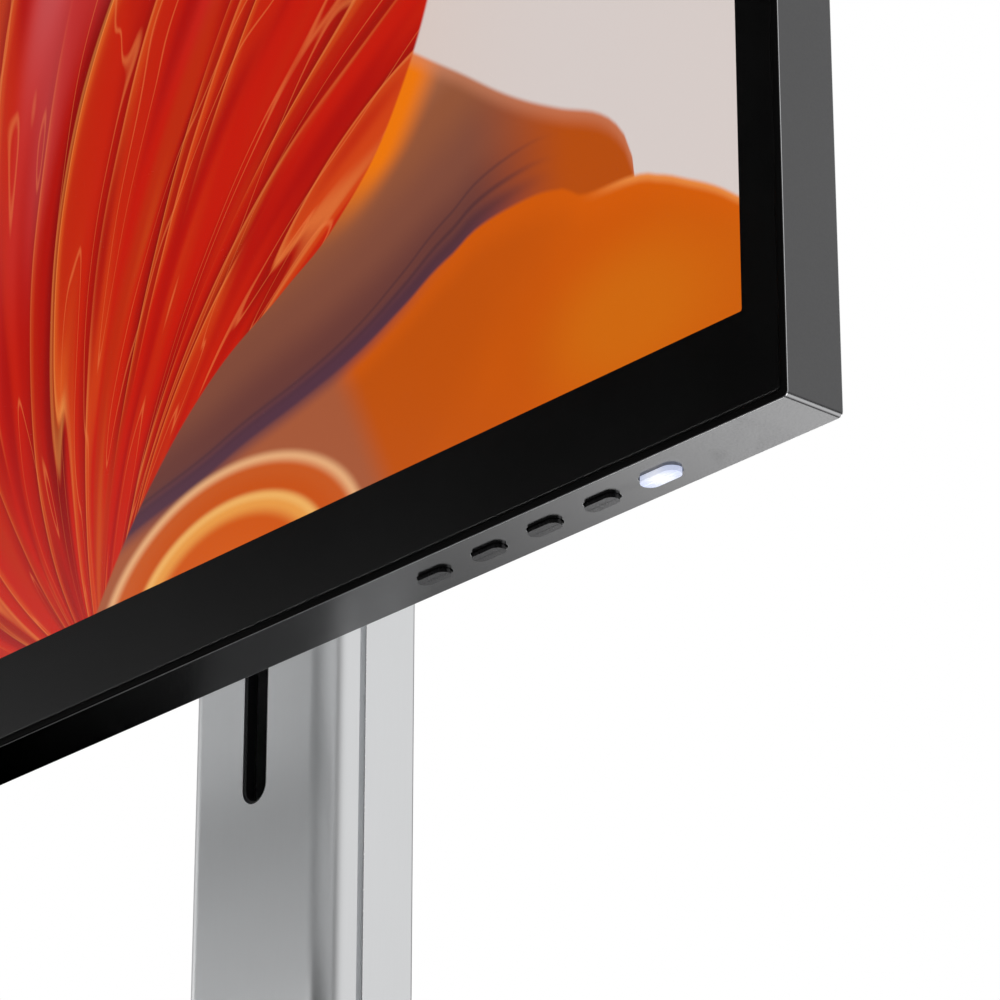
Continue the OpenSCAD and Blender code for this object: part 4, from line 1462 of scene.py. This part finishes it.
@dataclass
class Column:
    """The silver column: front profile with the slot, rear profile and cap. Its foot is a softened copy of
    the CAD node.
    """

    body: str = "column"
    front_radius: float = 6.8
    inner_radius: float = 3.3
    rear_radius: float = 1.5
    wall: float = 2.5
    groove: float = 1.8
    tongue: float = 1.5
    slot_width: float = 8.8
    slot_edge: float = 0.3
    groove_edge: float = 0.25
    cap_edge: float = 0.6
    screw_hole: float = 2.5

    def build_front(self) -> None:
        """Models the front profile with its round front edges and the long slot."""
        low, high = span("column_front")
        piece = Bench.block("front_profile", low, high)

        def front_corner(edge: bmesh.types.BMEdge) -> bool:
            """Whether the edge is one of the two upright front corners."""
            a, b = (v.co / MM for v in edge.verts)
            return abs(a.z - b.z) > LONG and abs(a.y - low.y) < NEAR

        Bench.bevel(piece, front_corner, self.front_radius, 16)
        channel = Bench.block(
            "channel",
            (low.x + self.wall, low.y + self.wall, low.z - 1),
            (high.x - self.wall, high.y + PAST, high.z + 1),
        )

        def inner_corner(edge: bmesh.types.BMEdge) -> bool:
            """Whether the edge is one of the channel's two upright front corners."""
            a, b = (v.co / MM for v in edge.verts)
            return abs(a.z - b.z) > LONG and abs(a.y - low.y - self.wall) < NEAR

        Bench.bevel(channel, inner_corner, self.inner_radius, 6)
        Bench.cut(piece, channel)
        slot_low, slot_high = span("slot_liner")
        slot = Bench.block(
            "slot_cut",
            (-self.slot_width / 2, low.y - 1, slot_low.z + 3),
            (self.slot_width / 2, low.y + self.wall + 1, slot_high.z - 3),
        )
        Bench.round_prism(slot, Axis.Y, self.slot_width / 2 * 0.9998, 12)
        Bench.cut(piece, slot)
        Bench.paint(piece, Trim.silver, Trim.silver_edge)

        def slot_mouth(edge: bmesh.types.BMEdge) -> bool:
            """Whether the edge is the slot's front edge."""
            places = [v.co / MM for v in edge.verts]
            reach = self.slot_width / 2 + 0.1
            flat = all(abs(p.y - low.y) < NEAR and abs(p.x) < reach for p in places)
            return flat and all(low.z + PAST < p.z < high.z - PAST for p in places)

        Bench.bevel(piece, slot_mouth, self.slot_edge, 3, True)
        Bench.tidy(piece)
        install(piece, self.body, "silver", (Trim.silver, Trim.silver_edge), "column_front")

    def build_rear(self) -> None:
        """Models the rear profile, with the tongues that leave the groove between the two."""
        low, high = span("column_rear")
        front_low, front_high = span("column_front")
        start = front_high.y + self.groove
        piece = Bench.block("rear_profile", (low.x, start, low.z), high)

        def back_corner(edge: bmesh.types.BMEdge) -> bool:
            """Whether the edge is one of the two upright back corners."""
            a, b = (v.co / MM for v in edge.verts)
            return abs(a.z - b.z) > LONG and abs(a.y - high.y) < NEAR

        Bench.bevel(piece, back_corner, self.rear_radius, 6)
        inner = high.x - self.wall - self.tongue
        tongue = inner + self.tongue
        Bench.fuse(piece, Bench.block("tongues", (-tongue, low.y, low.z), (tongue, start + 1, high.z)))
        bore_high = (inner, high.y - self.wall, high.z + 1)
        Bench.cut(piece, Bench.block("bore", (-inner, front_low.y, low.z - 1), bore_high))
        for box_low, box_high in islands("column_screws"):
            x, z = (box_low.x + box_high.x) / 2, (box_low.z + box_high.z) / 2
            Bench.cut(
                piece,
                Bench.rod("screw_cut", Axis.Y, (x, high.y - 4, z), 6, self.screw_hole, 24),
                Bench.rod("seat_cut", Axis.Y, (x, high.y - 1.2, z), 3, 2 * self.screw_hole, 24),
            )
        Bench.paint(piece, Trim.silver, Trim.silver_edge)

        def groove_lip(edge: bmesh.types.BMEdge) -> bool:
            """Whether the edge is the groove's outer lip on either side."""
            a, b = (v.co / MM for v in edge.verts)
            return abs(a.z - b.z) > LONG and abs(a.y - start) < NEAR and abs(abs(a.x) - high.x) < NEAR

        Bench.bevel(piece, groove_lip, self.groove_edge, 2, True)
        Bench.tidy(piece)
        install(piece, self.body, "silver_rear", (Trim.silver, Trim.silver_edge), "column_rear")

    def build_cap(self) -> None:
        """Models the cap with the column's outline and a soft top edge."""
        low, high = span("column_cap")
        piece = Bench.block("top_cap", low, high)
        for place, radius, segments in ((low.y, self.front_radius, 16), (high.y, self.rear_radius, 6)):

            def corner(edge: bmesh.types.BMEdge) -> bool:
                """Whether the edge is upright, at the front or at the back."""
                a, b = (v.co / MM for v in edge.verts)
                return abs(a.z - b.z) > 1 and abs(a.y - place) < NEAR and abs(b.y - place) < NEAR

            Bench.bevel(piece, corner, radius, segments)
        Bench.paint(piece, Trim.silver_flat, Trim.silver_edge)
        Bench.round_ends(piece, Axis.Z, high.z, self.cap_edge, 4)
        Bench.tidy(piece)
        install(piece, self.body, "silver", (Trim.silver_flat, Trim.silver_edge), "column_cap")

    def build(self) -> None:
        """Builds the column's outer pieces."""
        self.build_front()
        self.build_rear()
        self.build_cap()


@dataclass
class Base:
    """The flat base: silver cover with a soft edge."""

    body: str = "base"
    radius: float = 14.0
    skin: float = 2.0
    edge: float = 1.2
    bush: float = 26.0
    screw_hole: float = 4.0

    def build(self) -> None:
        """Models the silver cover over the base plate."""
        low, high = span("base_cover")
        piece = Bench.block("base_shell", low, high)
        Bench.round_prism(piece, Axis.Z, self.radius, 16)
        Bench.paint(piece, Trim.silver_flat, Trim.silver_edge)
        Bench.round_ends(piece, Axis.Z, high.z, self.edge, 5)
        inside = Bench.block(
            "shell_hollow",
            (low.x + self.skin, low.y + self.skin, low.z - 2),
            (high.x - self.skin, high.y - self.skin, high.z - self.skin),
        )
        Bench.round_prism(inside, Axis.Z, self.radius - self.skin, 16)
        Bench.cut(piece, inside)
        bush_low, bush_high = span("swivel_bush")
        y = (bush_low.y + bush_high.y) / 2
        Bench.cut(piece, Bench.rod("bush_hole", Axis.Z, (0, y, low.z - 2), 20, self.bush, 64))
        for box_low, box_high in islands("base_screws"):
            x, sy = (box_low.x + box_high.x) / 2, (box_low.y + box_high.y) / 2
            depth = box_high.z + 0.2 - low.z + 2
            Bench.cut(piece, Bench.rod("screw_cut", Axis.Z, (x, sy, low.z - 2), depth, self.screw_hole, 20))
        Bench.tidy(piece)
        install(piece, self.body, "silver", (Trim.silver_flat, Trim.silver_edge), "base_cover")


@dataclass
class Softened:
    """A CAD node whose shape is right, copied with its edges rounded."""

    node: str
    name: str
    body: str
    slot: str
    finish: Finish
    width: float
    edge_finish: Finish | None = None

    def build(self) -> None:
        """Copies the node, rounds its edges and dresses it."""
        piece = Bench.node_copy(self.node, self.name)
        finishes = [self.finish] + ([self.edge_finish] if self.edge_finish else [])
        Bench.paint(piece, *finishes)
        Bench.soften(piece, self.width)
        Bench.tidy(piece)
        install(piece, self.body, self.slot, finishes, self.node)


@dataclass
class ScrewSet:
    """A set of equal screws with hexagon sockets, standing where the CAD node has its screws."""

    node: str
    name: str
    body: str
    axis: Axis
    head_up: bool
    head_t: float
    shank: float
    socket: float

    def model(self, low: Vector, high: Vector) -> Piece:
        """Models one screw: shank, head with a soft rim, hexagon socket.

        Args:
            low: Lowest corner of the screw's box.
            high: Its highest corner.

        Returns:
            The screw.
        """
        i = self.axis.value
        across = [high[k] - low[k] for k in range(3) if k != i][0]
        middle = (low + high) / 2
        foot = Vector(middle)
        foot[i] = high[i] - self.head_t if self.head_up else low[i]
        head = Bench.rod(self.name, self.axis, foot, self.head_t, across, 32)
        face = high[i] if self.head_up else low[i]
        Bench.paint(head, Trim.screw)
        Bench.round_ends(head, self.axis, face, min(0.3, self.head_t / 3), 3, False)
        start = Vector(middle)
        start[i] = low[i] if self.head_up else low[i] + self.head_t - 0.05
        shank = Bench.rod("shank", self.axis, start, high[i] - low[i] - self.head_t + 0.05, self.shank, 24)
        Bench.fuse(head, shank)
        dent = Vector(middle)
        dent[i] = high[i] - self.head_t * 0.65 if self.head_up else low[i] - 1
        Bench.cut(head, Bench.rod("dent", self.axis, dent, 1 + self.head_t * 0.65, self.socket, 6))
        Bench.tidy(head)
        return head

    def build(self) -> None:
        """Models the first screw and copies it to the others."""
        boxes = islands(self.node)
        first = self.model(*boxes[0])
        made = [first]
        for low, high in boxes[1:]:
            made.append(Bench.copy(first, self.name, low - boxes[0][0]))
        piece = Bench.join(made)
        piece.name = self.name
        install(piece, self.body, "fastener", (Trim.screw,), self.node)


@dataclass
class CadDress:
    """Materials for the CAD nodes that stay as they are."""

    nodes: dict[Finish, tuple[str, ...]] = field(default_factory=dict)

    def build(self) -> None:
        """Gives each named node its finish."""
        for finish, names in self.nodes.items():
            for name in names:
                for slot in frame["nodes"][name].material_slots:
                    slot.material = finish.make()
                log.info("%s: CAD node in %s", name, finish.name)


# ---------- Studio ----------


@dataclass
class Studio:
    """White background, pale floor, soft studio light and the camera."""

    eye: tuple[float, float, float] = (805.6, -618.1, -175.4)
    look: tuple[float, float, float] = (-0.6895, 0.6055, 0.3973)
    lens: float = 168.0
    base_light: float = 0.03
    lobes: tuple[tuple[tuple[float, float, float], float, float, float], ...] = (
        ((0.69, 0.61, 0.36), 0.74, 0.50, 0.92),
        ((-0.97, 0.10, 0.20), 0.30, 0.80, 1.0),
        ((0.25, -0.93, 0.25), 0.06, 0.75, 1.0),
        ((0.0, 0.0, 1.0), 0.60, 0.60, 1.0),
        ((-0.20, -0.50, 0.85), 0.60, 0.85, 1.0),
    )
    band_way: tuple[float, float] = (-0.80, -0.60)
    band_side: tuple[float, float] = (0.62, 0.90)
    band_height: tuple[float, float] = (0.43, 0.22)
    band_power: float = 1.1
    # Where the floor's painted spot of light stands and how bright it is, seen in reflections only
    painted_spot_middle: tuple[float, float] = (0.385, 0.105)
    painted_spot_edge: tuple[float, float] = (0.19, 0.07)
    painted_spot_power: float = 3.4

    def build_camera(self) -> None:
        """Places the camera at the reference view."""
        data = bpy.data.cameras.new("reference_view")
        data.lens = self.lens
        data.sensor_width = 36.0
        data.clip_start = 0.01
        data.clip_end = 50.0
        camera = bpy.data.objects.new("reference_view", data)
        bpy.context.scene.collection.objects.link(camera)
        turn = Vector(self.look).to_track_quat("-Z", "Y").to_matrix().to_4x4()
        camera.matrix_world = Matrix.Translation(Vector(self.eye) * MM) @ turn
        bpy.context.scene.camera = camera

    def build_world(self) -> None:
        """Makes the background white, and lights the kiosk from broad soft areas."""
        world = bpy.data.worlds.new("soft_studio")
        bpy.context.scene.world = world
        world.use_nodes = True
        tree = world.node_tree
        tree.nodes.clear()
        sheet = NodeSheet.on(tree)
        way = sheet.new("TexCoord").outputs["Generated"]
        light: object = self.base_light
        for direction, power, start, full in self.lobes:
            dot = sheet.new("VectorMath", operation="DOT_PRODUCT")
            sheet.put(dot.inputs[0], way)
            dot.inputs[1].default_value = Vector(direction).normalized()
            light = sheet.plus(sheet.fit(dot.outputs["Value"], start, full, 0.0, power), light)
        soft = sheet.new("Background")
        sheet.put(soft.inputs["Strength"], self.horizon(sheet, way, light))
        soft.inputs["Color"].default_value = (1.0, 1.0, 1.0, 1.0)
        white = sheet.new("Background")
        white.inputs["Color"].default_value = (1.0, 1.0, 1.0, 1.0)
        seen = sheet.new("LightPath").outputs["Is Camera Ray"]
        shown = sheet.mix(seen, soft.outputs[0], white.outputs[0])
        sheet.put(sheet.new("OutputWorld").inputs["Surface"], shown)

    def horizon(self, sheet: NodeSheet, way: Socket, light: Socket) -> Socket:
        """Adds a low band of light on the left, under the height that the glass mirrors.

        Args:
            sheet: The world's sheet.
            way: The direction looked in.
            light: The light so far.

        Returns:
            The light with the band.
        """
        x, y, height = sheet.split(way)
        side = sheet.plus(sheet.times(x, self.band_way[0]), sheet.times(y, self.band_way[1]))
        band = sheet.times(sheet.fit(side, *self.band_side), sheet.fit(height, *self.band_height))
        return sheet.times_plus(band, self.band_power, light)

    def build_floor(self) -> None:
        """Lays the pale floor, which shows from above only.

        Reflections in the kiosk see a painted pool of light on the floor, brighter towards the right, and a
        painted bright spot.
        """
        bpy.ops.object.select_all(action="DESELECT")
        bpy.ops.mesh.primitive_plane_add(size=8.0, location=(0, 0, 0))
        floor = Bench.settle("studio_floor")
        sheet = NodeSheet("pale_floor")
        x, y, _ = sheet.split(sheet.place)
        # Painted pool of light: floor glow that only reflections see, brighter towards the right and the back
        painted_pool = sheet.curve(
            sheet.times(x, 1 / MM),
            [(-700, 0), (-262, 0), (-203, 2), (-166, 36), (-129, 66), (-80, 88), (-57, 128), (-23, 205)]
            + [(-4, 240), (60, 255), (110, 120), (200, 45), (700, 40), (1500, 40)],
        )
        painted_pool = sheet.times(sheet.times(painted_pool, 0.01), sheet.fit(y, 0.0, 0.12))
        painted_pool = sheet.plus(painted_pool, sheet.fit(y, -0.06, -0.30, 0.0, 0.2))
        # Painted bright spot of light on the floor, seen in reflections only
        away = [sheet.minus(value, middle) for value, middle in zip((x, y), self.painted_spot_middle)]
        painted_spot = sheet.fit(sheet.length(*away), *self.painted_spot_edge, 0.0, self.painted_spot_power)
        # The painted pool and spot glow as light on the floor
        shine = sheet.new("Emission")
        sheet.put(shine.inputs["Strength"], sheet.plus(painted_pool, painted_spot))
        pale = sheet.new("BsdfDiffuse")
        mottle = sheet.noise(3.0, 3.0)
        sheet.put(pale.inputs["Color"], sheet.over(mottle, (0.74, 0.735, 0.73), (0.80, 0.80, 0.795)))
        path = sheet.new("LightPath").outputs
        lift = sheet.new("Emission")
        sheet.put(lift.inputs["Strength"], sheet.times(path["Is Camera Ray"], 0.40))
        both = sheet.new("AddShader")
        sheet.put(both.inputs[0], pale.outputs[0])
        sheet.put(both.inputs[1], lift.outputs[0])
        # Reflections see the painted pool of light in place of the pale floor
        top = sheet.mix(path["Is Glossy Ray"], both.outputs[0], shine.outputs[0])
        below = sheet.new("NewGeometry").outputs["Backfacing"]
        shown = sheet.mix(below, top, sheet.new("BsdfTransparent").outputs[0])
        sheet.put(sheet.output.inputs["Surface"], shown)
        floor.data.materials.append(sheet.material)

    @staticmethod
    def softbox(name: str, at: Sequence[float], aim: Sequence[float], size: float, power: float) -> None:
        """Adds a square area light that neither the camera nor a reflection sees.

        Args:
            name: The light's name.
            at: Where it is.
            aim: The point that it faces.
            size: Its side.
            power: Its power in watts.
        """
        data = bpy.data.lights.new(name, "AREA")
        data.size = size * MM
        data.energy = power
        lamp = bpy.data.objects.new(name, data)
        bpy.context.scene.collection.objects.link(lamp)
        place = Vector(at) * MM
        way = (Vector(aim) * MM - place).to_track_quat("-Z", "Y").to_matrix().to_4x4()
        lamp.matrix_world = Matrix.Translation(place) @ way
        lamp.visible_camera = False
        lamp.visible_glossy = False

    def build(self) -> None:
        """Builds the camera, the background, the floor and the lights."""
        bpy.context.scene.view_settings.view_transform = "Standard"
        self.build_camera()
        self.build_world()
        self.build_floor()
        self.softbox("top_box", (-200, -100, 2300), (0, 0, 250), 1300, 6.0)
        self.softbox("back_box", (-300, 1600, 500), (0, 0, 250), 1300, 12.0)


def main() -> None:
    """Builds the kiosk's pieces in order, then the studio."""
    logging.basicConfig(level=logging.INFO, format="%(name)s: %(message)s")
    Display().build()
    ButtonRow().build()
    Column().build()
    Base().build()
    softened = [
        Softened("column_foot", "foot_flange", "column", "silver", Trim.silver_flat, 0.5, Trim.silver_edge),
        Softened("slot_liner", "slot_lining", "column", "liner_black", Trim.liner, 0.15),
        Softened("tilt_arm", "arm_casting", "carriage", "block_grey", Trim.cast, 0.5),
        Softened("carriage_block", "carriage_casting", "carriage", "block_grey", Trim.cast, 0.4),
        Softened("mount_plate", "mount_bracket", "display", "plate_dark", Trim.plate, 0.4),
        Softened("base_plate", "steel_plate", "base", "base_steel", Trim.base_steel, 0.4),
        Softened("rubber_feet", "foot_pads", "base", "foot_rubber", Trim.rubber, 0.4),
        Softened("swivel_bush", "bush_ring", "base", "bush_plastic", Trim.bush, 0.2),
        Softened("tilt_nuts", "hinge_nuts", "display", "fastener", Trim.steel, 0.3),
        Softened("tilt_shaft", "hinge_shaft", "display", "steel", Trim.steel, 0.4),
    ]
    screws = [
        ScrewSet("case_screws", "cover_screws", "display", Axis.Y, True, 0.9, 2.5, 2.2),
        ScrewSet("column_screws", "rear_screws", "column", Axis.Y, True, 1.0, 2.5, 2.2),
        ScrewSet("mount_screws", "bracket_screws", "display", Axis.Y, True, 2.5, 4.0, 3.4),
        ScrewSet("base_screws", "plate_screws", "base", Axis.Z, False, 2.2, 4.0, 3.4),
    ]
    for part in (*softened, *screws):
        part.build()
    CadDress(
        {
            Trim.ink: ("border_mask",),
            Trim.acrylic: ("light_guide", "power_led"),
            Trim.led: ("led_strip",),
            Trim.pan: ("back_pan",),
            Trim.board: ("touch_board", "main_board", "power_board", "button_board"),
            Trim.foil: ("touch_tail",),
            Trim.socket: ("heat_sink", "video_socket", "usb_sockets", "network_socket"),
            Trim.brass: ("board_standoffs",),
            Trim.screw: ("board_screws", "arm_screws"),
            Trim.black: ("speakers", "tact_switches", "power_inlet", "gas_spring_cylinder"),
            Trim.steel: (
                "mount_posts", "guide_rods", "gas_spring_rod", "swivel_spindle", "swivel_washer",
                "swivel_nut",
            ),
            Trim.washer: ("friction_washers",),
            Trim.cast: ("top_block",),
            Trim.bush: ("slide_bushes",),
        }
    ).build()
    Studio().build()


if __name__ == "__main__":
    main()
